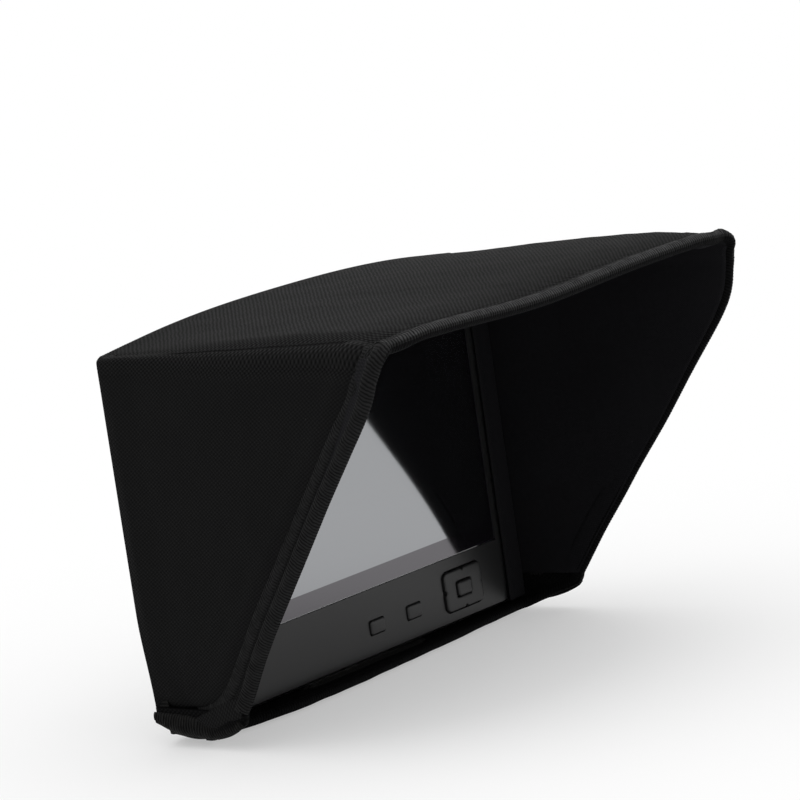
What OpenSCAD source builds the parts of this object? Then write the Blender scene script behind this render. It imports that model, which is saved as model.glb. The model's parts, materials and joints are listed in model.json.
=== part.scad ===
// A seven-inch field monitor for a camera, dressed in a soft sun hood.
// The origin is the mouth of the tripod socket, in the middle of the underside.
// +X runs to the right of the screen, +Y to the back and +Z up. Millimetres.

/* [Monitor case] */
// Width of the bezel beside the glass
side_border = 12; // [11.5:0.5:16]
// Height of the bezel above the glass
top_border = 7.8; // [7.6:0.1:14]
// Depth of the band round the edge, from the face back
band_d = 17; // [16.6:0.1:20]
// Depth of the raised block behind the band
block_d = 14.5; // [14:0.1:20]
// Width of the raised block
block_w = 144; // [140:1:150]
// Height of the raised block
block_h = 100; // [98:1:104]
// Height of the raised block's middle above the underside
block_z = 66; // [64:0.5:68]
// Thickness of the case walls
case_wall = 2.2; // [2:0.1:2.4]
// Radius of the case's corners, seen from the front
case_r = 6; // [4:0.5:8]
// Chamfer round the case's outer edges
case_chamfer = 1.2; // [0.4:0.1:1.5]
// Depth of the front bezel, from the face to the seam
bezel_d = 3.4; // [3:0.1:4]
// Thickness of the bezel's front plate
bezel_t = 2.4; // [2.2:0.1:2.8]

/* [Screen] */
// Width of the cover glass
glass_w = 164; // [160:0.5:166]
// Height of the cover glass
glass_h = 95.4; // [92:0.1:97]
// Thickness of the cover glass
glass_t = 1.1; // [0.8:0.1:1.2]
// How far the glass lies behind the face
glass_recess = 0.3; // [0.1:0.1:0.4]
// Height of the control strip under the glass
strip_h = 25.1; // [24.8:0.1:27]
// Width of the ledge that carries the glass
ledge_w = 2.6; // [2:0.1:3.5]
// How far the glass reaches beyond the display at the sides
lcd_side = 2; // [1:0.1:3]
// How far the glass reaches beyond the display at the top and bottom
lcd_end = 1.2; // [0.8:0.1:2]
// Thickness of the display panel
lcd_t = 1.6; // [1.2:0.1:2]
// Thickness of the backlight
backlight_t = 2.8; // [2:0.1:3.2]
// Thickness of the display's metal tray
tray_t = 0.8; // [0.5:0.1:1]

/* [Keys] */
// Width of a key, and of the select key in the pad
key_w = 8.4; // [7:0.1:9.2]
// Height of a key, and of the select key in the pad
key_h = 5.4; // [4.6:0.1:6]
// How far a key stands out of the face
key_proud = 0.9; // [0.5:0.1:1.4]
// Travel of a key
key_travel = 0.4; // [0.2:0.05:0.45]
// Middle of the left key
left_key_x = 6.9; // [6:0.1:8]
// Middle of the right key
right_key_x = 28.7; // [26:0.1:31]
// How far the keys lie below the middle of the control strip
key_drop = 1.55; // [0:0.05:2.5]
// Middle of the navigation pad
pad_x = 58.6; // [56:0.1:60]
// Width of the navigation pad
pad_w = 22.4; // [20:0.1:23]
// Height of the navigation pad
pad_h = 15.2; // [14.4:0.1:15.4]
// How far the pad stands out of the face
pad_proud = 1.5; // [0.9:0.1:2]
// How far the select key stands out of the pad
select_proud = 0.6; // [0.3:0.1:1]

/* [Back of the case] */
// Distance from the face to the middle of the tripod socket
socket_back = 12.4; // [12.2:0.1:12.6]
// Wall radius of the tripod socket
socket_r = 2.55; // [2.4:0.05:2.8]
// Outer radius of the socket's brass insert
insert_r = 4; // [3.8:0.1:4.2]
// Length of the brass insert
insert_l = 9; // [7:0.5:10]
// Width of the battery plate
plate_w = 44; // [42:0.5:48]
// Height of the battery plate
plate_h = 70; // [64:1:74]
// Thickness of the battery plate
plate_t = 3.6; // [3:0.1:4.5]
// Travel of the battery latch
latch_travel = 2.2; // [1.5:0.1:2.4]
// Travel of the power switch's slider
switch_travel = 3; // [2:0.1:3.5]

/* [Hood] */
// Thickness of the hood's padded walls
hood_wall = 3.5; // [3:0.1:4.5]
// Gap between the hood and the monitor
hood_fit = 0.3; // [0.2:0.05:0.6]
// How far the hood reaches ahead of the face
hood_reach = 113.5; // [90:0.5:130]
// How far the hood's sleeve reaches behind the face
sleeve_d = 15.1; // [12:0.1:15.5]
// How far each side has spread at the front
flare = 7.1; // [3:0.1:12]
// How far the top has risen at the front
rise = 1.5; // [0:0.1:6]
// Height of the padded crown at the back of the top
crown_h = 6.5; // [2:0.1:9]
// How far the side's front edge leans back before it turns
brow_lean = 7.9; // [3:0.1:14]
// Height of the side's front edge down to where it turns
brow_h = 17.7; // [12:0.1:28]
// How far the side's foot reaches ahead of the face
foot_reach = 26.9; // [20:0.1:40]
// Height of the seam between each side and the bottom band
seam_z = 9; // [7:0.1:12]
// How far the bottom band reaches ahead of the face in the middle
apron = 10; // [6:0.1:14]
// Width of the lips that rest on the bezel at the sides
side_lip_w = 10; // [6:0.5:11]
// Width of the lip that rests on the bezel at the top
top_lip_w = 7.6; // [5:0.1:8]
// Thickness of the lips
lip_t = 1.5; // [1:0.1:2.5]
// Thickness of the lining
lining_t = 0.8; // [0.5:0.1:1]
// Thickness of the stiffening boards
board_t = 1.2; // [0.8:0.1:1.5]
// How far the padded sides swell out between their edges
side_swell = 1.3; // [0:0.1:2]
// Distance from the boards' edges to the panels' edges
board_margin = 10; // [8.6:0.1:16]
// Width of the tape sewn round the front edge
tape_w = 8.5; // [6:0.1:8.5]
// Thickness of the tapes
tape_t = 0.7; // [0.4:0.1:1]
// Width of the notch in the bottom band, round the tripod socket
notch_w = 60; // [40:1:80]
// How far that notch reaches ahead of the socket
notch_reach = 9; // [7:0.5:11]

/* [Hidden] */

$fn = 48;
eps = 0.01;
slack = 0.1;                // air between pieces that only lie on each other
face_y = -socket_back;      // plane of the monitor's face
mon_w = glass_w + 2 * side_border;
mon_h = strip_h + glass_h + top_border;
face_mid = mon_h / 2;       // height of the middle of the face

// Layers behind the face, as distances from it
glass_front = glass_recess;
glass_back = glass_front + glass_t;
lcd_front = bezel_t + slack;
lcd_back = lcd_front + lcd_t;
light_front = lcd_back + slack;
light_back = light_front + backlight_t;
tray_front = light_back + slack;
tray_back = tray_front + tray_t;
band_inner = band_d - case_wall;
block_back = band_d + block_d;
block_inner = block_back - case_wall;
screen_z = strip_h + glass_h / 2;
lcd_w = glass_w - 2 * lcd_side;
lcd_h = glass_h - 2 * lcd_end;
tray_rim = 0.3;             // air round the display in its tray
tray_w = lcd_w + 2 * (tray_rim + tray_t);
tray_h = lcd_h + 2 * (tray_rim + tray_t);

// Screws
screw_r = 1;
screw_head_r = 1.9;
screw_head_h = 1.2;
screw_bite = 4;             // length of a small screw below the piece it holds
thread_air = 0.03;          // air between a screw and its pilot hole
case_screw_r = 1.25;
case_screw_head_r = 2.3;
case_screw_head_h = 1.8;
case_boss_r = 2.8;
case_boss_x = mon_w / 2 - case_wall - case_boss_r - 1.2;
case_screw_end = 7.5;       // from the case's top and bottom to its screws
case_screw_z = [case_screw_end, face_mid, mon_h - case_screw_end];
clip_l = 20;                // length of a clip tab
clip_x = 60;
clip_x2 = 24;
clip_end = 32;              // from the case's top and bottom to the tabs at its sides
bezel_boss_d = 8;           // depth at which the bezel's bosses end

// Keys and the boards behind them
boss_wall = 1;              // case material round the brass insert of the tripod socket
pad_z = strip_h / 2;
key_z = pad_z - key_drop;
key_gap = 0.25;
pad_gap = 0.55;
select_gap = 0.42;
flange_t = 0.8;
flange_w = 1.05;            // how far a key's flange stands out round the cap
flange_gap = 0.2;
pad_flange_gap = 0.6;
mat_front = bezel_t + flange_gap + 2 * flange_t + 0.1 + key_travel + 0.05;
mat_t = 0.65;
dome_h = 0.5;
dome_r = 2.1;
dome_front = mat_front + mat_t + 0.05;
keypad_front = dome_front + dome_h + 0.05;
keypad_t = 1.2;
keypad_back = keypad_front + keypad_t;
keypad_hole = 2.6;          // from the board's edges to its holes
keypad_x0 = -insert_r - boss_wall - screw_head_r - 0.3 - keypad_hole;
keypad_over = 6.4;          // how far the keypad's board reaches beyond the pad
keypad_x1 = pad_x + pad_w / 2 + keypad_over;
keypad_z0 = 2.8;
keypad_z1 = strip_h - keypad_z0;
pad_nub_x = 8;
pad_nub_z = 5.4;
gimbal_r = 2.7;
gimbal_bore_r = 1.8;
select_stem_r = 1.2;

// Main board, inside the raised block
board_front = band_d + 1.5;
board_thick = 1.6;
board_back = board_front + board_thick;
board_w = block_w - 2 * case_wall - 4;
board_h = block_h - 2 * case_wall - 4;
board_hole = 5;             // from the board's edges to its holes
boss_r = 2.9;
port_wall = block_w / 2;    // outer face of the block's side walls
port_inset = 0.4;           // how far a port's mouth lies inside that face
hdmi_z = block_z + 18;
av_z = block_z - 6;
phone_z = block_z + 18;
dc_z = block_z - 4;
power_z = block_z - 26;
hdmi_size = [11, 5.8, 15];
jack_size = [11.5, 5.6, 7];
jack_nose_r = 2.9;
jack_bore_r = 1.8;
dc_size = [13, 7.6, 9];
dc_bore_r = 2.85;
dc_pin_r = 1.05;
display_cable_x = -20;
display_cable_w = 30;
keypad_cable_w = 12;
keypad_cable_x = pad_x - keypad_cable_w - 0.6;
cable_z = block_z - board_h / 2 + 10;   // where both cables end on the main board
// Chips and sockets on the board's front: place from its middle, width and height
chips = [[-18, 6, 17, 17], [16, 14, 12, 10], [16, -8, 10, 8], [board_w / 2 - 28, 20, 14, 6]];
port_air = 0.3;
switch_size = [4.6, 5.4, 12];
knob_size = [4.4, 3, 4.4];  // the first size is the knob's length out of the case
stem_size = 2.2;
knob_proud = 1.5;
vent_n = 9;
vent_pitch = 5;
vent_w = 2;
vent_l = 24;
vent_x = 45;

// Battery plate
plate_z = block_z;
plate_hole_x = 11;          // from the plate's edges to its screws
plate_hole_z = 17;
hook_n = 3;
hook_pitch = 24;
hook_size = [2.2, 3.4, 8];
hook_lip = 1.4;
hook_lip_t = 1.2;
contact_z = plate_z - plate_h / 2 + 9;
contact_pitch = 6;
latch_w = 9;
latch_h = 6;
latch_z = plate_z + plate_h / 2 - 8;
latch_air = 0.25;
latch_proud = latch_travel; // the latch sinks flush when it is pressed
latch_flange = 1.5;
latch_flange_t = 1.2;
keeper_front = board_back + 1.7;
keeper_t = 1.2;
keeper_w = 28;
keeper_h = 8;
keeper_hole_x = 10.5;
spring_wire_r = 0.25;
spring_r = 2.1;
spring_turns = 4;

// Hood
hood_x = mon_w / 2 + hood_fit;          // inner half width of the sleeve
hood_z = mon_h + hood_fit;              // height of the sleeve's ceiling
hood_floor = -hood_fit;
pocket_air = 0.2;
rear_y = face_y + sleeve_d;
front_y = face_y - hood_reach;
spread = flare / hood_reach;            // how fast the sides spread
climb = rise / hood_reach;              // how fast the top rises
beyond = 20;                            // how far walls run on before they are cut
tape_bead = 1;                          // how far a tape covers an edge
seam_tape_w = 6;
lip_gap = 0.2;

// ---- small helpers -------------------------------------------------------------

// A flat shape in x and z, made into a slab between two distances behind the face
module slab(d0, d1) {
    translate([0, face_y + d1, 0]) rotate([90, 0, 0]) linear_extrude(d1 - d0) children();
}

// A flat shape in y and z, drawn out along x
module along_x(x0, x1) {
    translate([x0, 0, 0]) rotate([90, 0, 90]) linear_extrude(x1 - x0) children();
}

// A flat rectangle with round corners
module round_plate(w, h, r) {
    square([w - 2 * r, h], center = true);
    square([w, h - 2 * r], center = true);
    for (sx = [-1, 1], sz = [-1, 1]) translate([sx * (w / 2 - r), sz * (h / 2 - r)]) circle(r);
}

// The monitor's outline from the front, grown or, with a minus, shrunk
module mon_outline(grow) {
    translate([0, face_mid]) round_plate(mon_w + 2 * grow, mon_h + 2 * grow, case_r + grow);
}

// The raised block's outline from the back
module block_outline(grow) {
    translate([0, block_z]) round_plate(block_w + 2 * grow, block_h + 2 * grow, 8 + grow);
}

// A round hole or pin along y, between two distances behind the face
module pin_y(x, z, r, d0, d1) {
    translate([x, face_y + d1, z]) rotate([90, 0, 0]) cylinder(r = r, h = d1 - d0);
}

// A round hole or pin along x
module pin_x(x0, x1, y, z, r) {
    translate([x0, y, z]) rotate([0, 90, 0]) cylinder(r = r, h = x1 - x0);
}

// A small screw whose head lies on the plane at distance d and faces the front
module small_screw(x, z, d, grip) {
    pin_y(x, z, screw_head_r, d - screw_head_h, d);
    pin_y(x, z, screw_r, d - eps, d + grip + screw_bite);
}

function unit(v) = v / norm(v);
function left_of(v) = [-v[1], v[0]];

// A closed outline, counter-clockwise, with every edge moved inwards by m
function inset(pts, m) = let(n = len(pts)) [
    for (i = [0:n - 1])
        let(b = pts[i], p = left_of(unit(b - pts[(i + n - 1) % n])),
            q = left_of(unit(pts[(i + 1) % n] - b)))
        b + m * (p + q) / (1 + p * q)
];

// An arc that rounds the corner b between a and c
function corner(a, b, c, r, n = 6) = r <= 0 ? [b] :
    let(u = unit(a - b), v = unit(c - b), half = acos(u * v) / 2, mid = b + unit(u + v) * r / sin(half),
        p = b + u * r / tan(half) - mid, q = b + v * r / tan(half) - mid,
        a0 = atan2(p[1], p[0]), turn = (atan2(q[1], q[0]) - a0 + 540) % 360 - 180)
    [for (i = [0:n]) mid + r * [cos(a0 + turn * i / n), sin(a0 + turn * i / n)]];

function rounded(pts, radii) = let(n = len(pts)) [
    for (i = [0:n - 1]) each corner(pts[(i + n - 1) % n], pts[i], pts[(i + 1) % n], radii[i])
];

// A closed skin over rings of points, each ring as long as the next
module loft(rings) {
    n = len(rings[0]);
    m = len(rings);
    faces = [
        [for (i = [0:n - 1]) i],
        [for (i = [n - 1:-1:0]) (m - 1) * n + i],
        for (j = [0:m - 2], i = [0:n - 1])
            let(a = j * n + i, b = j * n + (i + 1) % n)
            each [[a, a + n, b + n], [a, b + n, b]]
    ];
    polyhedron([for (ring = rings) each ring], faces);
}

// ---- the case ------------------------------------------------------------------

// Where the two halves are screwed together
module at_case_screws() {
    for (sx = [-1, 1], z = case_screw_z) translate([sx * case_boss_x, 0, z]) children();
}

// Where the board behind the keys is screwed to the bezel
module at_keypad_screws() {
    for (x = [keypad_x0 + keypad_hole, keypad_x1 - keypad_hole])
        for (z = [keypad_z0 + keypad_hole, keypad_z1 - keypad_hole])
            translate([x, 0, z]) children();
}

// Where the main board is screwed to the housing
module at_board_screws() {
    for (sx = [-1, 1], sz = [-1, 1])
        translate([sx * (board_w / 2 - board_hole), 0, block_z + sz * (board_h / 2 - board_hole)])
            children();
}

// Where the battery plate is screwed to the housing
module at_plate_screws() {
    for (sx = [-1, 1], sz = [-1, 1])
        translate([sx * (plate_w / 2 - plate_hole_x), 0, plate_z + sz * (plate_h / 2 - plate_hole_z)])
            children();
}

// The clip tabs that line the two halves of the case up
module clip_tabs(air) {
    tab = [clip_l + 2 * air, 1.2 + 2 * air];
    reach = case_wall + 0.15 + tab[1] / 2 - air;
    slab(bezel_t - eps, bezel_d + 1.6) {
        for (x = [-clip_x, -clip_x2]) translate([x, reach]) square(tab, center = true);
        for (x = [-clip_x, 0, clip_x]) translate([x, mon_h - reach]) square(tab, center = true);
        for (sx = [-1, 1], z = [clip_end, mon_h - clip_end])
            translate([sx * (mon_w / 2 - reach), z]) square([tab[1], tab[0]], center = true);
    }
}

module front_bezel() color([0.17, 0.17, 0.18]) difference() {
    union() {
        hull() {
            slab(0, eps) mon_outline(-case_chamfer);
            slab(case_chamfer, case_chamfer + eps) mon_outline(0);
        }
        slab(case_chamfer, bezel_t) mon_outline(0);
        slab(bezel_t - eps, bezel_d) difference() {
            mon_outline(0);
            mon_outline(-case_wall);
        }
        clip_tabs(0);
        at_case_screws() pin_y(0, 0, case_boss_r, bezel_t - eps, bezel_boss_d);
        at_keypad_screws() pin_y(0, 0, 2, bezel_t - eps, keypad_front);
    }
    // Seat of the glass, and the window through its ledge
    slab(-eps, glass_back) translate([0, screen_z]) square([glass_w + slack, glass_h + slack], center = true);
    slab(-eps, bezel_t + eps) translate([0, screen_z])
        square([glass_w - 2 * ledge_w, glass_h - 2 * ledge_w], center = true);
    // Openings of the keys and of the pad
    slab(-eps, bezel_t + eps) {
        for (x = [left_key_x, right_key_x]) translate([x, key_z])
            round_plate(key_w + 2 * key_gap, key_h + 2 * key_gap, 0.9);
        translate([pad_x, pad_z]) round_plate(pad_w + 2 * pad_gap, pad_h + 2 * pad_gap, 3.2);
    }
    at_case_screws() pin_y(0, 0, case_screw_r + thread_air, bezel_t + 0.6, bezel_boss_d + eps);
    at_keypad_screws() pin_y(0, 0, screw_r + thread_air, bezel_t - 1.2, keypad_front + eps);
}

// A side wall's cut for a port, through the wall at x = side * port_wall
module port_cut(side, z, size) {
    y = face_y + board_back + size[1] / 2;
    translate([side * port_wall, y, z])
        cube([3 * case_wall, size[1] + 2 * port_air, size[2] + 2 * port_air], center = true);
}

module rear_housing() color([0.13, 0.13, 0.14]) difference() {
    union() {
        difference() {
            union() {
                slab(bezel_d, band_d - case_chamfer) mon_outline(0);
                hull() {
                    slab(band_d - case_chamfer - eps, band_d - case_chamfer) mon_outline(0);
                    slab(band_d - eps, band_d) mon_outline(-case_chamfer);
                }
                slab(band_d - eps, block_back - case_chamfer) block_outline(0);
                hull() {
                    slab(block_back - case_chamfer - eps, block_back - case_chamfer) block_outline(0);
                    slab(block_back - eps, block_back) block_outline(-case_chamfer);
                }
            }
            slab(bezel_d - eps, band_inner) mon_outline(-case_wall);
            slab(band_inner - eps, block_inner) block_outline(-case_wall);
        }
        // Bosses of the case screws, and posts that press on the display's tray
        at_case_screws() pin_y(0, 0, case_boss_r, bezel_boss_d + slack, band_d - case_chamfer);
        for (sx = [-1, 1], sz = [-1, 1])
            pin_y(sx * (tray_w / 2 - 4), screen_z + sz * (tray_h / 2 - 4), 3, tray_back + slack, band_inner + eps);
        at_board_screws() pin_y(0, 0, boss_r, board_back, block_inner + eps);
        // Bosses of the latch keeper
        for (sx = [-1, 1])
            pin_y(sx * keeper_hole_x, latch_z, 2.4, keeper_front + keeper_t, block_inner + eps);
        // Boss of the tripod socket
        intersection() {
            cylinder(r = insert_r + boss_wall, h = insert_l + 1.5);
            slab(keypad_back + slack, band_inner + eps) translate([0, 20]) square([20, 40], center = true);
        }
    }
    // Seat of the brass insert
    translate([0, 0, -eps]) cylinder(r = insert_r, h = insert_l + eps);
    // Case screws: clearance through the boss, and a recess for each head
    at_case_screws() {
        pin_y(0, 0, case_screw_r + 0.15, bezel_boss_d, band_d);
        pin_y(0, 0, case_screw_head_r + 0.3, band_d - case_screw_head_h - 0.3, band_d + eps);
    }
    at_board_screws() pin_y(0, 0, screw_r + thread_air, board_back - eps, board_back + screw_bite + 1);
    for (sx = [-1, 1])
        pin_y(sx * keeper_hole_x, latch_z, screw_r + thread_air, keeper_front, block_inner + 0.6);
    at_plate_screws() pin_y(0, 0, screw_r + thread_air, block_inner - eps, block_back + eps);
    // Ports and the power switch
    port_cut(-1, hdmi_z, hdmi_size);
    pin_x(-port_wall - eps, -port_wall + 2 * case_wall, port_y(jack_size), av_z, jack_nose_r + port_air);
    pin_x(port_wall - 2 * case_wall, port_wall + eps, port_y(jack_size), phone_z, jack_nose_r + port_air);
    port_cut(1, dc_z, dc_size);
    translate([port_wall, port_y(switch_size), power_z + switch_travel / 2])
        cube([3 * case_wall, knob_size[1] + 0.6, knob_size[2] + switch_travel + 0.6], center = true);
    // Air vents on both sides of the battery plate
    slab(block_inner - eps, block_back + eps)
        for (sx = [-1, 1], i = [0:vent_n - 1])
            translate([sx * vent_x, block_z + (i - (vent_n - 1) / 2) * vent_pitch])
                round_plate(vent_l, vent_w, vent_w / 2 - eps);
    // Way of the latch and of the contacts through the back wall
    slab(block_inner - eps, block_back + eps) {
        translate([0, latch_z]) square([latch_w + 2 * latch_air, latch_h + 2 * latch_air], center = true);
        translate([0, contact_z]) square([3 * contact_pitch, 5], center = true);
    }
}

module screen_glass() color([0.5, 0.5, 0.53]) slab(glass_front, glass_back)
    translate([0, screen_z]) square([glass_w, glass_h], center = true);

module lcd_panel() color([0.2, 0.2, 0.24]) slab(lcd_front, lcd_back)
    translate([0, screen_z]) square([lcd_w, lcd_h], center = true);

module backlight() color([0.9, 0.9, 0.88]) slab(light_front, light_back)
    translate([0, screen_z]) square([lcd_w, lcd_h], center = true);

module lcd_tray() color([0.72, 0.73, 0.75]) difference() {
    slab(lcd_front, tray_back) translate([0, screen_z]) square([tray_w, tray_h], center = true);
    slab(lcd_front - eps, tray_front) translate([0, screen_z])
        square([lcd_w + 2 * tray_rim, lcd_h + 2 * tray_rim], center = true);
}

// ---- keys ----------------------------------------------------------------------

// A key: a cap with a softened rim, a flange behind the bezel and a stem
module key(x) {
    slab(-key_proud + 0.25, bezel_t + flange_gap + eps) translate([x, key_z]) round_plate(key_w, key_h, 0.8);
    slab(-key_proud, -key_proud + 0.25) translate([x, key_z]) round_plate(key_w - 0.5, key_h - 0.5, 0.6);
    slab(bezel_t + flange_gap, bezel_t + flange_gap + flange_t) translate([x, key_z])
        round_plate(key_w + 2 * flange_w, key_h + 2 * flange_w, 1);
    pin_y(x, key_z, 1.6, bezel_t + flange_gap + flange_t - eps, mat_front - key_travel - 0.05);
}

module key_left() color([0.2, 0.2, 0.21]) key(left_key_x);

module key_right() color([0.2, 0.2, 0.21]) key(right_key_x);

// The four-way pad: it rocks on the gimbal ring and has a notch at each end of its cross
module nav_pad() color([0.2, 0.2, 0.21]) {
    back = bezel_t + pad_flange_gap;
    difference() {
        union() {
            slab(-pad_proud + 0.5, back + eps) translate([pad_x, pad_z]) round_plate(pad_w, pad_h, 3);
            slab(-pad_proud, -pad_proud + 0.5 + eps) translate([pad_x, pad_z])
                round_plate(pad_w - 1, pad_h - 1, 2.5);
            slab(back, back + flange_t) translate([pad_x, pad_z])
                round_plate(pad_w + 2.6, pad_h + 2.2, 3.6);
            for (s = [[1, 0], [-1, 0], [0, 1], [0, -1]])
                pin_y(pad_x + s[0] * pad_nub_x, pad_z + s[1] * pad_nub_z, 1.1, back, back + flange_t + 0.35);
        }
        // Opening of the select key
        slab(-pad_proud - eps, back - 0.4) translate([pad_x, pad_z])
            round_plate(key_w + 2 * select_gap, key_h + 2 * select_gap, 0.9);
        pin_y(pad_x, pad_z, select_stem_r + 0.45, back - 0.4 - eps, back + flange_t + eps);
        // Notches
        slab(-pad_proud - eps, -pad_proud + 0.45) translate([pad_x, pad_z]) {
            for (s = [-1, 1]) translate([s * (pad_w / 2 - 0.4), 0]) square([1.4, 2.6], center = true);
            for (s = [-1, 1]) translate([0, s * (pad_h / 2 - 0.4)]) square([3.4, 1.4], center = true);
        }
    }
}

// The ring that the pad rocks on
module nav_gimbal() color([0.45, 0.45, 0.45]) difference() {
    front = bezel_t + pad_flange_gap + flange_t + 0.18;
    pin_y(pad_x, pad_z, gimbal_r, front, mat_front - 0.15);
    pin_y(pad_x, pad_z, gimbal_bore_r, front - 1, mat_front);
}

module nav_select() color([0.2, 0.2, 0.21]) {
    top = -pad_proud - select_proud;
    slab(top + 0.25, bezel_t - 0.4) translate([pad_x, pad_z]) round_plate(key_w, key_h, 0.8);
    slab(top, top + 0.25 + eps) translate([pad_x, pad_z]) round_plate(key_w - 0.5, key_h - 0.5, 0.6);
    pin_y(pad_x, pad_z, select_stem_r, bezel_t - 0.4 - eps, mat_front - key_travel - 0.05);
}

module key_mat() color([0.5, 0.5, 0.48]) difference() {
    slab(mat_front, mat_front + mat_t) translate([keypad_x0, keypad_z0])
        square([keypad_x1 - keypad_x0, keypad_z1 - keypad_z0]);
    at_keypad_screws() pin_y(0, 0, 2.3, mat_front - eps, mat_front + mat_t + eps);
}

module dome_switches() color([0.8, 0.78, 0.7]) {
    places = [
        [left_key_x, key_z], [right_key_x, key_z], [pad_x, pad_z],
        [pad_x - pad_nub_x, pad_z], [pad_x + pad_nub_x, pad_z],
        [pad_x, pad_z - pad_nub_z], [pad_x, pad_z + pad_nub_z]
    ];
    for (p = places) translate([p[0], face_y + dome_front + dome_h, p[1]]) rotate([90, 0, 0])
        cylinder(r1 = dome_r, r2 = dome_r / 2, h = dome_h);
}

module keypad_board() color([0.08, 0.3, 0.16]) difference() {
    slab(keypad_front, keypad_back) translate([keypad_x0, keypad_z0])
        square([keypad_x1 - keypad_x0, keypad_z1 - keypad_z0]);
    at_keypad_screws() pin_y(0, 0, screw_r + 0.15, keypad_front - eps, keypad_back + eps);
}

// ---- electronics in the block --------------------------------------------------

// Middle of a port behind the board, along y
function port_y(size) = face_y + board_back + 0.05 + size[1] / 2;

// A block behind the board that ends just inside the side wall
module port_body(side, z, size) {
    translate([side * (port_wall - port_inset - size[0] / 2), port_y(size), z]) cube(size, center = true);
}

module main_board() color([0.07, 0.28, 0.15]) difference() {
    union() {
        slab(board_front, board_back) translate([0, block_z]) square([board_w, board_h], center = true);
        // Chips and sockets on the board's front
        slab(board_front - 1.2, board_front + eps) {
            for (c = chips) translate([c[0], block_z + c[1]]) square([c[2], c[3]], center = true);
        }
        slab(board_front - 1, board_front + eps) {
            for (c = [[display_cable_x, display_cable_w], [keypad_cable_x, keypad_cable_w]])
                translate([c[0], cable_z + 1.8]) square([c[1] + 2, 4], center = true);
        }
        // Coils and capacitors of the supply on its back
        for (x = [22, 34]) pin_y(x, block_z - 6, 3.2, board_back - eps, board_back + 4);
        slab(board_back - eps, board_back + 3.6) translate([28, block_z + 12]) square([9, 9], center = true);
    }
    at_board_screws() pin_y(0, 0, screw_r + 0.15, board_front - eps, board_back + eps);
}

module hdmi_socket() color([0.75, 0.75, 0.77]) {
    mouth = -(port_wall - port_inset);
    y = port_y(hdmi_size);
    difference() {
        port_body(-1, hdmi_z, hdmi_size);
        translate([mouth - eps, y - 2.4, hdmi_z - 7]) cube([9, 4.8, 14]);
    }
    // The tongue that carries the contacts
    translate([mouth + 2, y - 0.5, hdmi_z - 5.5]) cube([8, 1, 11]);
}

// A 3.5 mm jack: a block on the board with a round nose through the wall
module jack(side, z) {
    y = port_y(jack_size);
    x = port_wall - case_wall - 0.3;
    difference() {
        union() {
            translate([side * (x - jack_size[0] / 2), y, z]) cube(jack_size, center = true);
            if (side > 0) pin_x(x - eps, port_wall - port_inset, y, z, jack_nose_r);
            else pin_x(-port_wall + port_inset, -x + eps, y, z, jack_nose_r);
        }
        if (side > 0) pin_x(x - jack_size[0] + 1.5, port_wall, y, z, jack_bore_r);
        else pin_x(-port_wall, -x + jack_size[0] - 1.5, y, z, jack_bore_r);
    }
}

module av_jack() color([0.12, 0.12, 0.12]) jack(-1, av_z);

module headphone_jack() color([0.12, 0.12, 0.12]) jack(1, phone_z);

module dc_jack() color([0.12, 0.12, 0.12]) {
    y = port_y(dc_size);
    mouth = port_wall - port_inset;
    difference() {
        port_body(1, dc_z, dc_size);
        pin_x(mouth - dc_size[0] + 2, mouth + eps, y, dc_z, dc_bore_r);
    }
    pin_x(mouth - dc_size[0] + 1.9, mouth - 1.5, y, dc_z, dc_pin_r);
}

// The switch lies against the inside of the side wall
switch_x = port_wall - case_wall - slack - switch_size[0] / 2;

module power_switch() color([0.6, 0.6, 0.6]) difference() {
    translate([switch_x, port_y(switch_size), power_z + switch_travel / 2])
        cube(switch_size, center = true);
    translate([switch_x + 1, port_y(switch_size), power_z + switch_travel / 2])
        cube([switch_size[0], stem_size + 0.4, stem_size + switch_travel + 0.4], center = true);
}

// The slider: a ribbed knob outside the wall's slot, with a stem into the switch
module power_slider() color([0.2, 0.2, 0.21]) {
    inner = port_wall - case_wall + 0.1;
    y = port_y(switch_size);
    translate([inner, y - knob_size[1] / 2, power_z - knob_size[2] / 2])
        cube([case_wall + knob_proud - 0.4, knob_size[1], knob_size[2]]);
    for (i = [-1:1])
        translate([inner, y - knob_size[1] / 2, power_z + i * 1.6 - 0.4])
            cube([case_wall + knob_proud, knob_size[1], 0.8]);
    translate([switch_x - 0.6, y - stem_size / 2, power_z - stem_size / 2])
        cube([inner - switch_x + 0.7, stem_size, stem_size]);
}

// A flat cable: a strip that follows the route of its middle, bent square
module flat_cable(x, w, d0, z0, d1, z1) {
    t = 0.3;
    along_x(x - w / 2, x + w / 2) polygon([
        [face_y + d0, z0], [face_y + d1 - t, z0], [face_y + d1 - t, z1],
        [face_y + d1, z1], [face_y + d1, z0 - t], [face_y + d0, z0 - t]
    ]);
}

module display_cable() color([0.75, 0.5, 0.15])
    flat_cable(display_cable_x, display_cable_w, tray_back, screen_z - tray_h / 2 + 2, board_front - 1.05, cable_z);

module keypad_cable() color([0.75, 0.5, 0.15])
    flat_cable(keypad_cable_x, keypad_cable_w, keypad_back, keypad_z1 - 3, board_front - 1.05, cable_z);

// ---- battery plate and tripod socket --------------------------------------------

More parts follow.
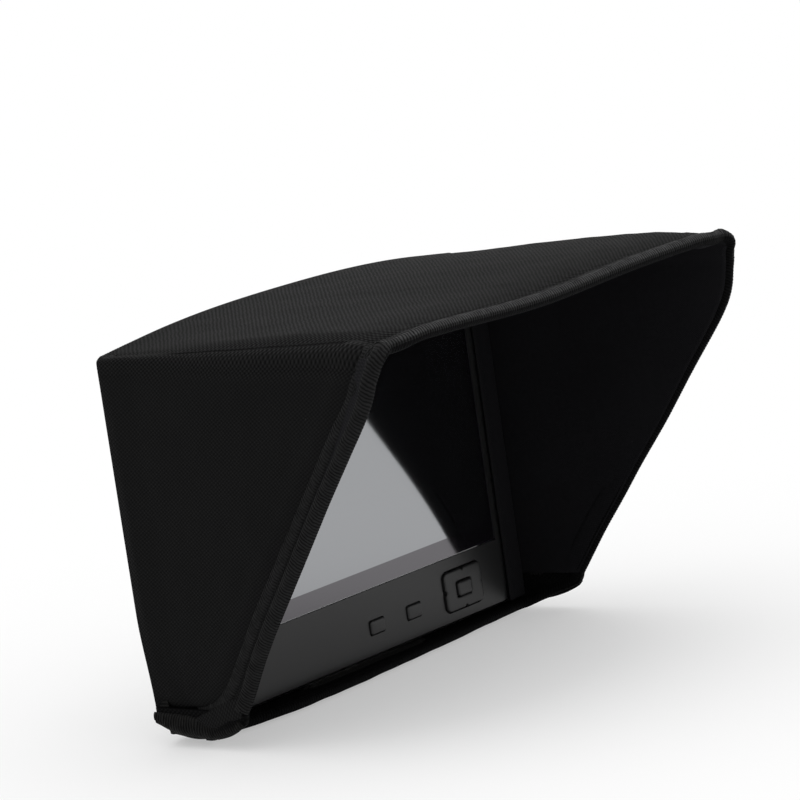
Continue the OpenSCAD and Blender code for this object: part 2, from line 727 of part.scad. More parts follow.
module battery_plate() color([0.13, 0.13, 0.14]) difference() {
    union() {
        slab(block_back, block_back + plate_t) translate([0, plate_z]) round_plate(plate_w, plate_h, 2.5);
        // Hooks that hold the battery's rails
        for (sx = [-1, 1], i = [0:hook_n - 1])
            translate([0, face_y + block_back + plate_t - eps, plate_z + (i - (hook_n - 1) / 2) * hook_pitch]) {
                translate([sx * (plate_w / 2 - hook_size[0] / 2), hook_size[1] / 2, 0])
                    cube(hook_size, center = true);
                translate([sx * (plate_w / 2 - (hook_size[0] + hook_lip) / 2), hook_size[1] - hook_lip_t / 2, 0])
                    cube([hook_size[0] + hook_lip, hook_lip_t, hook_size[2]], center = true);
            }
    }
    slab(block_back - eps, block_back + plate_t + eps) {
        translate([0, latch_z]) square([latch_w + 2 * latch_air, latch_h + 2 * latch_air], center = true);
        translate([0, contact_z]) square([3 * contact_pitch, 5], center = true);
    }
    at_plate_screws() {
        pin_y(0, 0, screw_r + 0.15, block_back - eps, block_back + plate_t + eps);
        pin_y(0, 0, screw_head_r + 0.2, block_back + plate_t - screw_head_h - 0.2, block_back + plate_t + eps);
    }
}

// Three blades in a carrier, with pins that reach the main board
module battery_contacts() color([0.85, 0.75, 0.45]) {
    slab(block_inner, block_back + plate_t - 0.6) translate([0, contact_z])
        square([3 * contact_pitch - 0.2, 4.8], center = true);
    for (i = [-1:1]) {
        slab(block_back + plate_t - 0.6 - eps, block_back + plate_t + 2.4)
            translate([i * contact_pitch, contact_z]) square([1.2, 3.6], center = true);
        pin_y(i * contact_pitch, contact_z, 0.6, board_back, block_inner + eps);
    }
}

// The latch: a tooth with a sloped top, and a flange behind the housing's wall
module battery_latch() color([0.2, 0.2, 0.21]) {
    out = block_back + plate_t + latch_proud;
    y0 = face_y + block_inner - slack - latch_flange_t;
    along_x(-latch_w / 2, latch_w / 2) polygon([
        [y0 + latch_flange_t - eps, latch_z - latch_h / 2], [face_y + out, latch_z - latch_h / 2],
        [face_y + out, latch_z - latch_h / 2 + 2], [face_y + block_back + plate_t + 0.2, latch_z + latch_h / 2],
        [y0 + latch_flange_t - eps, latch_z + latch_h / 2]
    ]);
    translate([-latch_w / 2 - latch_flange, y0, latch_z - latch_h / 2 - latch_flange])
        cube([latch_w + 2 * latch_flange, latch_flange_t, latch_h + 2 * latch_flange]);
}

module latch_keeper() color([0.72, 0.73, 0.75]) difference() {
    slab(keeper_front, keeper_front + keeper_t) translate([0, latch_z]) round_plate(keeper_w, keeper_h, 2);
    for (sx = [-1, 1])
        pin_y(sx * keeper_hole_x, latch_z, screw_r + 0.15, keeper_front - eps, keeper_front + keeper_t + eps);
}

// A coil spring between the keeper and the latch's flange
module latch_spring() color([0.8, 0.8, 0.82]) {
    y0 = face_y + keeper_front + keeper_t + 0.05;
    y1 = face_y + block_inner - slack - latch_flange_t - 0.05;
    steps = 12;
    sides = 6;
    run = y1 - y0 - 2 * spring_wire_r;
    loft([
        for (j = [0:spring_turns * steps])
            let(a = 360 * j / steps, y = y0 + spring_wire_r + run * j / (spring_turns * steps))
            [for (i = [0:sides - 1])
                let(b = -360 * i / sides, r = spring_r + spring_wire_r * cos(b))
                [r * cos(a), y + spring_wire_r * sin(b), latch_z + r * sin(a)]]
    ]);
}

// The threaded brass insert of the tripod socket
module tripod_socket() color([0.8, 0.65, 0.3]) difference() {
    cylinder(r = insert_r, h = insert_l);
    translate([0, 0, -eps]) cylinder(r = socket_r, h = insert_l + 2 * eps);
}

// ---- screws --------------------------------------------------------------------

module housing_screws() color([0.6, 0.6, 0.62]) at_case_screws() {
    seat = band_d - 0.3;
    pin_y(0, 0, case_screw_head_r, seat - case_screw_head_h, seat);
    pin_y(0, 0, case_screw_r, bezel_t + 1.2, seat - case_screw_head_h + eps);
}

module board_screws() color([0.6, 0.6, 0.62]) {
    at_board_screws() small_screw(0, 0, board_front, board_thick);
    // These hold the board behind the keys, so they point to the front
    at_keypad_screws() {
        pin_y(0, 0, screw_head_r, keypad_back, keypad_back + screw_head_h);
        pin_y(0, 0, screw_r, keypad_front - screw_bite, keypad_back + eps);
    }
    for (sx = [-1, 1]) translate([sx * keeper_hole_x, 0, latch_z]) small_screw(0, 0, keeper_front, keeper_t);
}

module plate_screws() color([0.6, 0.6, 0.62]) at_plate_screws() {
    seat = block_back + plate_t - screw_head_h - 0.2;
    pin_y(0, 0, screw_head_r, seat, seat + screw_head_h);
    pin_y(0, 0, screw_r, block_inner + 0.2, seat + eps);
}

// ---- the hood ------------------------------------------------------------------

// How far the walls have spread, and the ceiling has risen, at a place along y
function spread_at(y) = spread * max(0, face_y - y);
function ceiling_at(y) = hood_z + climb * max(0, face_y - y);

// Side panel from the side, counter-clockwise in y and z
function side_outline() = [
    [rear_y, seam_z], [rear_y, hood_z], [face_y, hood_z], [front_y, ceiling_at(front_y)],
    [front_y + brow_lean, ceiling_at(front_y) - brow_h], [face_y - foot_reach, seam_z]
];
side_radii = [0, 0, 0, 4, 14, 0];
wing_radii = [0, 0, 0, 7, 12];

// The lower part of each side, below the seam: it falls steeply at the foot, then runs back
function wing_outline() = let(low = hood_floor - hood_wall, h = seam_z - low, foot_y = face_y - foot_reach) [
    [rear_y, low], [rear_y, seam_z], [foot_y, seam_z],
    [foot_y + 0.24 * h, seam_z - 0.61 * h], [face_y - 0.56 * apron, low]
];

// A layer of a side wall, between two distances from the hood's inside, cut to an outline
module side_wall(side, a, b) {
    x0 = hood_x + a;
    x1 = hood_x + b;
    far_y = front_y - beyond;
    mirror([side < 0 ? 1 : 0, 0, 0]) intersection() {
        translate([0, 0, -beyond]) linear_extrude(hood_z + 2 * beyond) polygon([
            [x0, rear_y + beyond], [x0, face_y], [x0 + spread_at(far_y), far_y],
            [x1 + spread_at(far_y), far_y], [x1, face_y], [x1, rear_y + beyond]
        ]);
        along_x(0, hood_x + hood_wall + flare + beyond) children();
    }
}

// Top panel from above, clockwise
function top_plan() = let(x = hood_x + hood_wall) [
    [x, rear_y], [x, face_y], [x + flare, front_y],
    [-x - flare, front_y], [-x, face_y], [-x, rear_y]
];

// A layer of the top, between two distances from the ceiling, cut to a plan
module top_layer(a, b, plan) {
    far_y = front_y - beyond;
    wide = hood_x + hood_wall + flare + beyond;
    intersection() {
        along_x(-wide, wide) polygon([
            [rear_y + beyond, hood_z + a], [face_y, hood_z + a], [far_y, ceiling_at(far_y) + a],
            [far_y, ceiling_at(far_y) + b], [face_y, hood_z + b], [rear_y + beyond, hood_z + b]
        ]);
        linear_extrude(hood_z + 3 * beyond) polygon(plan);
    }
}

// The crown swells from the tape at the front to its full height at the back
function crown_at(y) = crown_h * pow(max(0, (y - front_y - tape_w) / (rear_y - front_y - tape_w)), 1.2);

// The top's cross-section at a place along y: a flat underside and a crowned top
crown_n = 16;
crown_shape = 2.5;
fold_r = 3;
function top_ring(y) = let(w = hood_x + hood_wall + spread_at(y), z0 = ceiling_at(y) + lining_t,
        z1 = ceiling_at(y) + hood_wall) concat(
    [[-w, y, z0], [w, y, z0]],
    [for (i = [0:crown_n])
        let(t = 90 - 180 * i / crown_n, x = w * sin(t), over = max(0, abs(x) - (w - fold_r)),
            fold = fold_r - sqrt(max(0, fold_r * fold_r - over * over)))
        [x, y, max(z0 + 0.4, z1 + crown_at(y) * (1 - pow(abs(x) / w, crown_shape)) - fold)]]
);

module hood_top() color([0.07, 0.07, 0.08]) difference() {
    ys = [
        front_y, front_y + tape_w, for (i = [1:6]) front_y + tape_w + (rear_y - front_y - tape_w) * i / 6
    ];
    loft([for (y = ys) top_ring(y)]);
    top_layer(lining_t - 1, lining_t + board_t + pocket_air, inset(top_plan(), -board_margin + pocket_air));
}

// The side's swelled outer face: a ring for each height, whose swell fades behind the tape
swell_n = 6;
function edge_y(z) = let(o = side_outline()) lookup(z, [for (i = [5, 4, 3]) [o[i][1], o[i][0]]]);
function swell_ring(z) = let(up = (z - seam_z) / (hood_z - seam_z), from = edge_y(z) + 1.4 * tape_w,
        out = up > 0 && up < 1 ? side_swell * sin(180 * up) : 0, x = hood_x + hood_wall) concat(
    [[x - 20, rear_y + beyond, z], [x - 20, front_y - beyond, z],
     [x + spread_at(front_y - beyond), front_y - beyond, z]],
    [for (i = [0:swell_n]) let(y = from + (rear_y - from) * i / swell_n)
        [x + spread_at(y) + out * min(1, i / 2), y, z]],
    [[x + out, rear_y + beyond, z]]
);

module swelled_side() {
    top = ceiling_at(front_y);
    loft([for (z = [seam_z - 1, each [for (i = [0:8]) seam_z + (hood_z - seam_z) * i / 8], top + 1])
        swell_ring(z)]);
}

module side_panel(side) color([0.06, 0.06, 0.07]) difference() {
    intersection() {
        side_wall(side, lining_t, hood_wall + side_swell + 0.5) polygon(rounded(side_outline(), side_radii));
        mirror([side < 0 ? 1 : 0, 0, 0]) swelled_side();
    }
    side_wall(side, lining_t - 1, lining_t + board_t + pocket_air)
        polygon(inset(side_outline(), board_margin - pocket_air));
}

module hood_left() side_panel(-1);

module hood_right() side_panel(1);

module top_lining() color([0.04, 0.04, 0.05]) top_layer(0, lining_t, top_plan());

module side_lining(side) color([0.04, 0.04, 0.05])
    side_wall(side, 0, lining_t) polygon(rounded(side_outline(), side_radii));

module left_lining() side_lining(-1);

module right_lining() side_lining(1);

module top_board() color([0.5, 0.5, 0.5])
    top_layer(lining_t, lining_t + board_t, inset(top_plan(), -board_margin));

module side_board(side) color([0.5, 0.5, 0.5])
    side_wall(side, lining_t, lining_t + board_t) polygon(inset(side_outline(), board_margin));

module left_board() side_board(-1);

module right_board() side_board(1);

// The band under the monitor, with a wing up each side to the seam
module hood_bottom() color([0.05, 0.05, 0.06]) difference() {
    low = hood_floor - hood_wall;
    wing_x = hood_x + hood_wall + spread_at(face_y - foot_reach);
    intersection() {
        union() {
            for (side = [-1, 1]) side_wall(side, 0, hood_wall) polygon(rounded(wing_outline(), wing_radii));
            translate([0, 0, low]) linear_extrude(hood_wall) apron_plan();
        }
        slab(-hood_reach, band_d) translate([0, low + 30])
            round_plate(2 * wing_x, 60, case_r + hood_fit + hood_wall);
    }
    // Notch that leaves the tripod socket free and lets the hood slide off
    translate([-notch_w / 2, -notch_reach, low - 1]) cube([notch_w, notch_reach + band_d, hood_wall + 1 + 0.2]);
}

// The bottom band from above: a bowed front edge between the wings
module apron_plan() {
    x = hood_x + 0.5;
    n = 12;
    polygon(concat(
        [[x, rear_y], [-x, rear_y]],
        [for (i = [0:n]) let(t = 2 * i / n - 1) [t * x, face_y - apron * (1 - 0.6 * t * t)]]
    ));
}

// The lips rest on the bezel and stop the hood from sliding back
module top_lip() color([0.05, 0.05, 0.06]) slab(-lip_gap - lip_t, -lip_gap)
    translate([side_lip_w + slack - hood_x, hood_z - top_lip_w - slack])
        square([2 * (hood_x - side_lip_w - slack), top_lip_w]);

module side_lip(side) color([0.05, 0.05, 0.06]) slab(-lip_gap - lip_t, -lip_gap)
    translate([side * (hood_x - side_lip_w / 2 - 0.05), hood_z / 2]) square([side_lip_w, hood_z - 1], center = true);

module left_lip() side_lip(-1);

module right_lip() side_lip(1);

// The side's outline with its front edge run on past both ends, and its back edge moved away
function long_outline() = let(a = side_outline()[3], k = side_outline()[4], f = side_outline()[5],
        high = a + beyond * unit(a - k), low = f + beyond * unit(f - k))
    [[rear_y + beyond, low[1]], [rear_y + beyond, high[1]], high, k, low];

// The sewn tape that wraps the front edge of the top and of both sides
module front_tape() color([0.05, 0.05, 0.06]) difference() {
    union() {
        for (side = [-1, 1]) side_wall(side, -tape_t, hood_wall + tape_t) difference() {
            polygon(rounded(inset(side_outline(), -tape_bead), side_radii));
            polygon(rounded(inset(long_outline(), tape_w), [0, 0, 0, side_radii[4], 0]));
            translate([front_y - beyond, seam_z - beyond]) square([2 * hood_reach, beyond]);
            translate([front_y - beyond, ceiling_at(front_y)]) square([2 * hood_reach, beyond]);
        }
        top_layer(-tape_t, hood_wall + tape_t, [
            for (p = [[1, -tape_bead], [1, tape_w], [-1, tape_w], [-1, -tape_bead]])
                [p[0] * (hood_x + hood_wall + tape_t + spread_at(front_y + p[1])), front_y + p[1]]
        ]);
    }
    for (side = [-1, 1]) side_wall(side, 0, hood_wall) polygon(rounded(side_outline(), side_radii));
    top_layer(0, hood_wall, top_plan());
}

// The tape on the sleeve's back edge, which follows the crowned top
module rear_tape() color([0.05, 0.05, 0.06]) slab(sleeve_d, sleeve_d + 1.2) difference() {
    edge = [for (i = [2:crown_n + 2]) let(p = top_ring(rear_y)[i]) [p[0], p[2]]];
    polygon(concat([for (p = edge) p], [[-hood_x - hood_wall, seam_z], [hood_x + hood_wall, seam_z]]));
    translate([-hood_x, seam_z - 1]) square([2 * hood_x, hood_z - seam_z + 1]);
}

// The wide sewn tapes over the seams between the sides and the bottom band
module seam_tapes() color([0.06, 0.06, 0.07]) for (side = [-1, 1])
    side_wall(side, hood_wall, hood_wall + tape_t + 0.3)
        translate([face_y - foot_reach + 4, seam_z - slack - seam_tape_w])
            square([foot_reach - 4 + sleeve_d, seam_tape_w]);

front_bezel();
rear_housing();
screen_glass();
lcd_panel();
backlight();
lcd_tray();
main_board();
keypad_board();
key_mat();
dome_switches();
key_left();
key_right();
nav_pad();
nav_gimbal();
nav_select();
hdmi_socket();
av_jack();
headphone_jack();
dc_jack();
power_switch();
power_slider();
battery_plate();
battery_contacts();
battery_latch();
latch_spring();
latch_keeper();
tripod_socket();
housing_screws();
board_screws();
plate_screws();
display_cable();
keypad_cable();
hood_top();
hood_left();
hood_right();
hood_bottom();
top_board();
left_board();
right_board();
top_lining();
left_lining();
right_lining();
top_lip();
left_lip();
right_lip();
front_tape();
rear_tape();
seam_tapes();
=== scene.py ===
# A camera field monitor in its soft sun hood: finishes, sewn cloth, light and camera.
import json
import math

import bmesh
import bpy
from mathutils import Matrix, Vector, noise


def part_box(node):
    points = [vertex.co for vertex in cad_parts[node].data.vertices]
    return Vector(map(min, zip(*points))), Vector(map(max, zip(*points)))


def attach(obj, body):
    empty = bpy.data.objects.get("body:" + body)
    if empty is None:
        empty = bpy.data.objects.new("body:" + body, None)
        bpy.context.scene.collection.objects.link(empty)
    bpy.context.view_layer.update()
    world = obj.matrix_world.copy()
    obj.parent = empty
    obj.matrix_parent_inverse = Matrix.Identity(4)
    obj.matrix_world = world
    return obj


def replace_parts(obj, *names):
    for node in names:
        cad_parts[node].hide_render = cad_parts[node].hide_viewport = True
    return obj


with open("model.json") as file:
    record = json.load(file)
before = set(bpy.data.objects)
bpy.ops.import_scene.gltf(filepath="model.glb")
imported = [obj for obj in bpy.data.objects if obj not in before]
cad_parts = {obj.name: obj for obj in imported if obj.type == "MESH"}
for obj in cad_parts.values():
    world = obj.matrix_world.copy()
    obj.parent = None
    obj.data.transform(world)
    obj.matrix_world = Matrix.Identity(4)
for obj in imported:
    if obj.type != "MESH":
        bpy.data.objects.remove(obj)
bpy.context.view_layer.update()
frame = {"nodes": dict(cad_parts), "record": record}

# ---- sizes, in millimetres, from the part's frame --------------------------------
FACE_Y = -12.4       # the bezel's face
REAR_Y = 2.7         # back edge of the hood's sleeve
FRONT_Y = -125.9     # front edge of the hood's top
INSIDE = 94.3        # half the width inside the hood
WALL = 3.5
SPREAD = 7.1 / 113.5     # how much wider the hood gets on each side, per millimetre forwards
CEILING = 128.6
CLIMB = 1.5 / 113.5      # and how much higher
CROWN = 6.5          # rise of the top's middle at the sleeve
SEAM_Z = 9.0         # where the sides are sewn to the band
LOW_Z = -3.7         # lowest cloth
TOP_SHARE = 0.43     # share of the half girth that lies on the top
FOLD_SHARE = 0.455   # and where the corner fold ends
BROW_Z = 112.4       # above it the side's front edge turns steeper
BAND_CORNER = 8.4
GIRTH = 439.0        # of the hood's cloth, from seam to seam over the top
THREAD_PITCH = 1.2


def smooth(low, high, x):
    t = min(1.0, max(0.0, (x - low) / (high - low)))
    return t * t * (3 - 2 * t)


def ruffle(point, size, seed=0.0):
    """Soft unevenness between about -1 and 1, with waves of the given size."""
    return noise.noise(Vector(point) / size + Vector((seed, 2 * seed, -seed)))


def through(stops, x):
    """A smooth curve through the stops, each a place and a value."""
    if x <= stops[0][0]:
        return stops[0][1]
    for i in range(len(stops) - 1):
        (x0, y0), (x1, y1) = stops[i], stops[i + 1]
        if x <= x1:
            before = stops[i - 1] if i else stops[i]
            after = stops[i + 2] if i + 2 < len(stops) else stops[i + 1]
            m0 = (y1 - before[1]) / max(1e-6, x1 - before[0])
            m1 = (after[1] - y0) / max(1e-6, after[0] - x0)
            w = x1 - x0
            t = (x - x0) / w
            return ((2 * t ** 3 - 3 * t * t + 1) * y0 + (t ** 3 - 2 * t * t + t) * w * m0
                    + (3 * t * t - 2 * t ** 3) * y1 + (t ** 3 - t * t) * w * m1)
    return stops[-1][1]


# ---- the hood's form ---------------------------------------------------------------
def side_front(z):
    """Where the side's front edge lies at a height: it slopes forward, then turns steeper at the brow."""
    over = z - BROW_Z
    return (-39.3 - 0.7611 * (z - SEAM_Z) + 0.3148 * 0.5 * (over + math.sqrt(over * over + 90))
            + 1.2 * smooth(SEAM_Z, 30, z) * smooth(110, 80, z) + 1.6 * smooth(114, 128, z))


def hood_point(u, y, out):
    """A point of the hood's wall and the way out of it: u runs from -1 at the left seam to 1 at the
    right one, out from 0 inside to WALL."""
    ahead = max(0.0, FACE_Y - y)
    width = INSIDE + out + SPREAD * ahead
    reach = (REAR_Y - y) / (REAR_Y - FRONT_Y)
    fold = 0.3 + 1.9 * reach + (0.35 + 1.35 * reach) * out
    k, hand = abs(u), (1 if u >= 0 else -1)
    aside = min(k / TOP_SHARE, 1)
    lift = (2.3 + 1.2 * smooth(-60, 100, hand * aside * width)) * (0.12 + 0.93 * reach)
    lift *= 1 - (0.35 if u > 0 else 0.66) * smooth(0.8, 1, aside) * smooth(0.78, 1, reach)
    top = CEILING + CLIMB * ahead + out + lift
    down = max(0.0, k - FOLD_SHARE) / (1 - FOLD_SHARE)
    held = smooth(0.25, 0.0, down) * smooth(0.4, 0.95, reach)
    puff = (2.3 + 0.6 * reach) * smooth(1.0, 0.72, down) * (1 - held)
    width += puff * (out / WALL + (1 - out / WALL) * smooth(0, 40, ahead))
    width -= 1.5 * smooth(0.05, 0.0, down) * smooth(0.03, 0.3, reach) if k > TOP_SHARE else 0
    if k <= TOP_SHARE:
        t = k / TOP_SHARE
        bow = CROWN * max(0.0, 1 - reach) ** 1.15 * (1 - t ** 2.5) * out / WALL
        sag = 2.0 * smooth(0.25, 1, reach) * math.exp(-((hand * t + 0.15) / 0.42) ** 2)
        return Vector((hand * t * (width - fold), y, top + bow - sag)), Vector((0, 0, 1))
    if k <= FOLD_SHARE:
        turn = (k - TOP_SHARE) / (FOLD_SHARE - TOP_SHARE) * math.pi / 2
        s, c = math.sin(turn), math.cos(turn)
        return (Vector((hand * (width - fold + fold * s), y, top - fold + fold * c)),
                Vector((hand * s, 0, c)))
    t = (k - FOLD_SHARE) / (1 - FOLD_SHARE)
    return (Vector((hand * width, y, top - fold - t * (top - fold - SEAM_Z))), Vector((hand, 0, 0)))


def hood_front(u, out=WALL):
    """How far forward the hood reaches at a place of its girth."""
    if abs(u) <= TOP_SHARE:
        return FRONT_Y + 2.2 * smooth(0.86, 1.0, abs(u) / TOP_SHARE)
    y = FRONT_Y
    for _ in range(3):
        z = hood_point(u, y, out)[0].z
        y = side_front(z) - (1.2 * smooth(45, 70, z) * smooth(122, 108, z) if u > 0 else 0)
    if abs(u) <= FOLD_SHARE:
        t = (abs(u) - TOP_SHARE) / (FOLD_SHARE - TOP_SHARE)
        y = FRONT_Y + 2.2 + (y - FRONT_Y - 2.2) * t
    return y


def stitch_line(u):
    """How far behind the front edge the row of stitches runs."""
    if abs(u) <= TOP_SHARE:
        return 8.2
    z = hood_point(u, hood_front(u), WALL)[0].z
    return 8.2 + 0.2 * smooth(118, 100, z) + 15.2 * math.exp(-(max(0.0, z - SEAM_Z) / 2.6) ** 0.75)


def wall_relief(u, y):
    """How the padded cloth stands out of, or sinks below, its plain form."""
    point, _ = hood_point(u, y, WALL)
    behind = y - hood_front(u)
    line = stitch_line(u)
    lift = 0.25 * ruffle(point, 17.0, 3.1) + 0.1 * ruffle(point, 6.0, 7.7)
    lift += 0.5 * math.exp(-((behind - line - 7.0) / 5.0) ** 2) - 0.55 * smooth(line + 3, line, behind)
    if abs(u) > FOLD_SHARE:
        t = (abs(u) - FOLD_SHARE) / (1 - FOLD_SHARE)
        lift += 1.1 * math.sin(math.pi * min(1, t)) * smooth(0, 30, behind)
        lift -= 2.0 * math.exp(-((point.z - SEAM_Z) / 2.6) ** 1.5) * smooth(-39, -30, y)
        lift -= 0.4 * math.exp(-((point.z - 126.8) / 0.8) ** 2)
    elif abs(u) < TOP_SHARE:
        edge = (TOP_SHARE - abs(u)) / TOP_SHARE * 95
        lift -= 0.35 * math.exp(-((edge - 2.5) / 1.0) ** 2)
        lift += 2.2 * smooth(8, 26, behind) * smooth(135, 45, behind) * smooth(0, 9, edge)
    return lift * smooth(-1, 5, REAR_Y - y)


# Along the band's girth from the left seam: where its front edge lies
BAND_STOPS = [(0, -39.6), (2, -39.0), (4.5, -36.8), (7.5, -32.6), (12.5, -22.5), (18.4, -17.2), (22, -16.8),
              (27.5, -17.6), (42, -20.5), (56, -22.1), (80, -22.3), (95.5, -22), (146.5, -19.4), (190, -16.2),
              (197.8, -16.6), (203.7, -20.5), (208.7, -29.6), (211.7, -35.4), (214.2, -38.6), (216.2, -39.6)]
BAND_GIRTH = BAND_STOPS[-1][0]


def band_point(g, y, out):
    """A point of the band under the monitor, g millimetres along its girth from the left seam."""
    width = INSIDE + out + SPREAD * max(0.0, FACE_Y - y)
    corner = BAND_CORNER - (WALL - out)
    low = LOW_Z + WALL - out + 0.9 * smooth(-10, 2, y)
    hand, h = (-1, g) if g < BAND_GIRTH / 2 else (1, BAND_GIRTH - g)
    if h <= 3:
        return Vector((hand * width, y, SEAM_Z - h * (SEAM_Z - low - corner) / 3)), Vector((hand, 0, 0))
    if h <= 18.4:
        turn = (h - 3) / 15.4 * math.pi / 2
        s, c = math.sin(turn), math.cos(turn)
        return (Vector((hand * (width - corner + corner * c), y, low + corner - corner * s)),
                Vector((hand * c, 0, -s)))
    flat = width - corner
    x = hand * flat * (1 - (h - 18.4) / (BAND_GIRTH / 2 - 18.4))
    return Vector((x, y, low)), Vector((0, 0, -1))


def band_rear(g):
    """The band's back edge steps forward round the tripod socket."""
    x = abs(g - BAND_GIRTH / 2) * 0.985
    dent = 3.2 * math.exp(-((BAND_GIRTH / 2 - abs(g - BAND_GIRTH / 2) - 9.5) / 4) ** 2)
    return REAR_Y - dent - (REAR_Y + 9.0) * smooth(33.5, 30.5, x)


# ---- making meshes -------------------------------------------------------------------
def piece(name, bm, body, finish_of, smooth_faces=True):
    mesh = bpy.data.meshes.new(name)
    bmesh.ops.transform(bm, matrix=Matrix.Scale(0.001, 4), verts=bm.verts)
    bm.to_mesh(mesh)
    bm.free()
    if smooth_faces:
        mesh.shade_smooth()
    made = bpy.data.objects.new(name, mesh)
    bpy.context.scene.collection.objects.link(made)
    for one in (finish_of if isinstance(finish_of, (list, tuple)) else [finish_of]):
        mesh.materials.append(one)
    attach(made, body)
    return made


def cloth_grid(columns, rows, place, lay, turned=False):
    """A grid of cloth: place turns shares across and along into a point, lay into millimetres of cloth."""
    bm = bmesh.new()
    bmesh.ops.create_grid(bm, x_segments=columns, y_segments=rows, size=0.5)
    laid = bm.loops.layers.uv.new("cloth")
    for face in bm.faces:
        for loop in face.loops:
            loop[laid].uv = lay(loop.vert.co.x + 0.5, loop.vert.co.y + 0.5)
    for vert in bm.verts:
        vert.co = place(vert.co.x + 0.5, vert.co.y + 0.5)
    if turned:
        bmesh.ops.reverse_faces(bm, faces=bm.faces)
    return bm


def thicken(made, thickness):
    wall = made.modifiers.new("thickness", "SOLIDIFY")
    wall.thickness = thickness * 0.001
    wall.offset = -1.0
    wall.use_even_offset = False
    return made


class Track:
    """Evenly spaced stations along a line of sewing, from two curves on the outer and inner face."""

    def __init__(self, outer, inner, samples=1400, blur=8):
        pairs = [(outer(i / samples), inner(i / samples)) for i in range(samples + 1)]
        self.mid = [(o + i) / 2 for o, i in pairs]
        raw = [(o - i).normalized() for o, i in pairs]
        self.half = [(o - i).length / 2 for o, i in pairs]
        self.length = [0.0]
        for a, b in zip(self.mid, self.mid[1:]):
            self.length.append(self.length[-1] + (b - a).length)
        self.total = self.length[-1]
        self.out, self.along = [], []
        for i in range(samples + 1):
            low, high = max(0, i - blur), min(samples, i + blur)
            along = (self.mid[high] - self.mid[low]).normalized()
            out = sum(raw[low:high + 1], Vector()).normalized()
            ahead = along.cross(out).normalized()
            self.along.append(along)
            self.out.append(ahead.cross(along))

    def at(self, share):
        want = share * self.total
        low, high = 0, len(self.length) - 1
        while high - low > 1:
            middle = (low + high) // 2
            if self.length[middle] <= want:
                low = middle
            else:
                high = middle
        t = (want - self.length[low]) / max(1e-9, self.length[high] - self.length[low])
        out = self.out[low].lerp(self.out[high], t).normalized()
        along = self.along[low].lerp(self.along[high], t).normalized()
        mid = self.mid[low].lerp(self.mid[high], t)
        half = self.half[low] * (1 - t) + self.half[high] * t
        return mid, out, along.cross(out).normalized(), half, want


def sewn_edge(track, step, round_points, section):
    """Sweeps a closed section along a track. section gives, for the station's length and a share of the
    way round, how far ahead and how far out the cloth lies."""
    rings = int(track.total / step)
    stations = [track.at(i / rings) for i in range(rings + 1)]

    def place(a, b):
        mid, out, ahead, half, want = stations[round(a * rings)]
        d, n = section(want, b % 1.0, half)
        return mid + ahead * d + out * n

    bm = cloth_grid(rings, round_points, place,
                    lambda a, b: ((a - 0.5) * track.total, b * round_points * 0.6))
    bmesh.ops.remove_doubles(bm, verts=bm.verts, dist=1e-5)
    bmesh.ops.holes_fill(bm, edges=[e for e in bm.edges if e.is_boundary], sides=0)
    bmesh.ops.recalc_face_normals(bm, faces=bm.faces)
    return bm


def stitches(want, pitch, depth):
    return depth * (abs(math.sin(math.pi * want / pitch)) - 0.6)


def round_rectangle(angle, half_w, half_h, radius):
    """A point of a round-cornered rectangle, at an angle from its middle, and the way out there."""
    c, s = math.cos(angle), math.sin(angle)
    p = Vector((c, s)) / max(abs(c) / half_w, abs(s) / half_h)
    core = Vector((math.copysign(half_w - radius, c), math.copysign(half_h - radius, s)))
    if abs(p.x) > abs(core.x) and abs(p.y) > abs(core.y):
        way = (p - core).normalized()
        return core + way * radius, way
    if abs(p.x) / half_w > abs(p.y) / half_h:
        return p, Vector((math.copysign(1, c), 0))
    return p, Vector((0, math.copysign(1, s)))


def stacked(rings, segments=144, notch=None):
    """Round-cornered loops bridged one to the next. Each is half width, half height, radius, depth y
    and, where it isn't centred, its shift up. notch says how far a point is pushed in."""
    bm = bmesh.new()
    before = None
    for half_w, half_h, radius, y, *shift in rings:
        made = bmesh.ops.create_circle(bm, segments=segments, radius=1.0, cap_ends=False)
        for vert in made["verts"]:
            angle = math.atan2(vert.co.y, vert.co.x)
            p, way = round_rectangle(angle, half_w, half_h, radius)
            if notch:
                p = p - way * notch(p, half_w, half_h)
            vert.co = (p.x, y, p.y + (shift[0] if shift else 0))
        edges = list({e for v in made["verts"] for e in v.link_edges})
        if before:
            bmesh.ops.bridge_loops(bm, edges=before + edges)
        before = edges
    return bm, before


def cap(rings, centre, segments=144):
    """A moulded key or pane: stacked loops, open at the back, closed at the front."""
    bm, last = stacked(rings, segments)
    bmesh.ops.holes_fill(bm, edges=last, sides=0)
    bmesh.ops.translate(bm, vec=centre, verts=bm.verts)
    bmesh.ops.recalc_face_normals(bm, faces=bm.faces)
    bm.normal_update()
    if max(bm.faces, key=lambda face: len(face.verts)).normal.y > 0:
        bmesh.ops.reverse_faces(bm, faces=bm.faces)
    return bm


# ---- finishes --------------------------------------------------------------------------
def node(tree, kind, **given):
    made = tree.nodes.new(kind)
    for name, value in given.items():
        setattr(made, name, value)
    return made


def feed(tree, socket, value):
    if isinstance(value, bpy.types.NodeSocket):
        tree.links.new(value, socket)
    elif value is not None:
        socket.default_value = value


def sums(tree, operation, *values):
    made = node(tree, "ShaderNodeMath", operation=operation)
    for socket, value in zip(made.inputs, values):
        feed(tree, socket, value)
    return made.outputs[0]


def spread_to(tree, value, low, high, new_low=0.0, new_high=1.0):
    made = node(tree, "ShaderNodeMapRange")
    for i, v in enumerate((value, low, high, new_low, new_high)):
        feed(tree, made.inputs[i], v)
    return made.outputs[0]


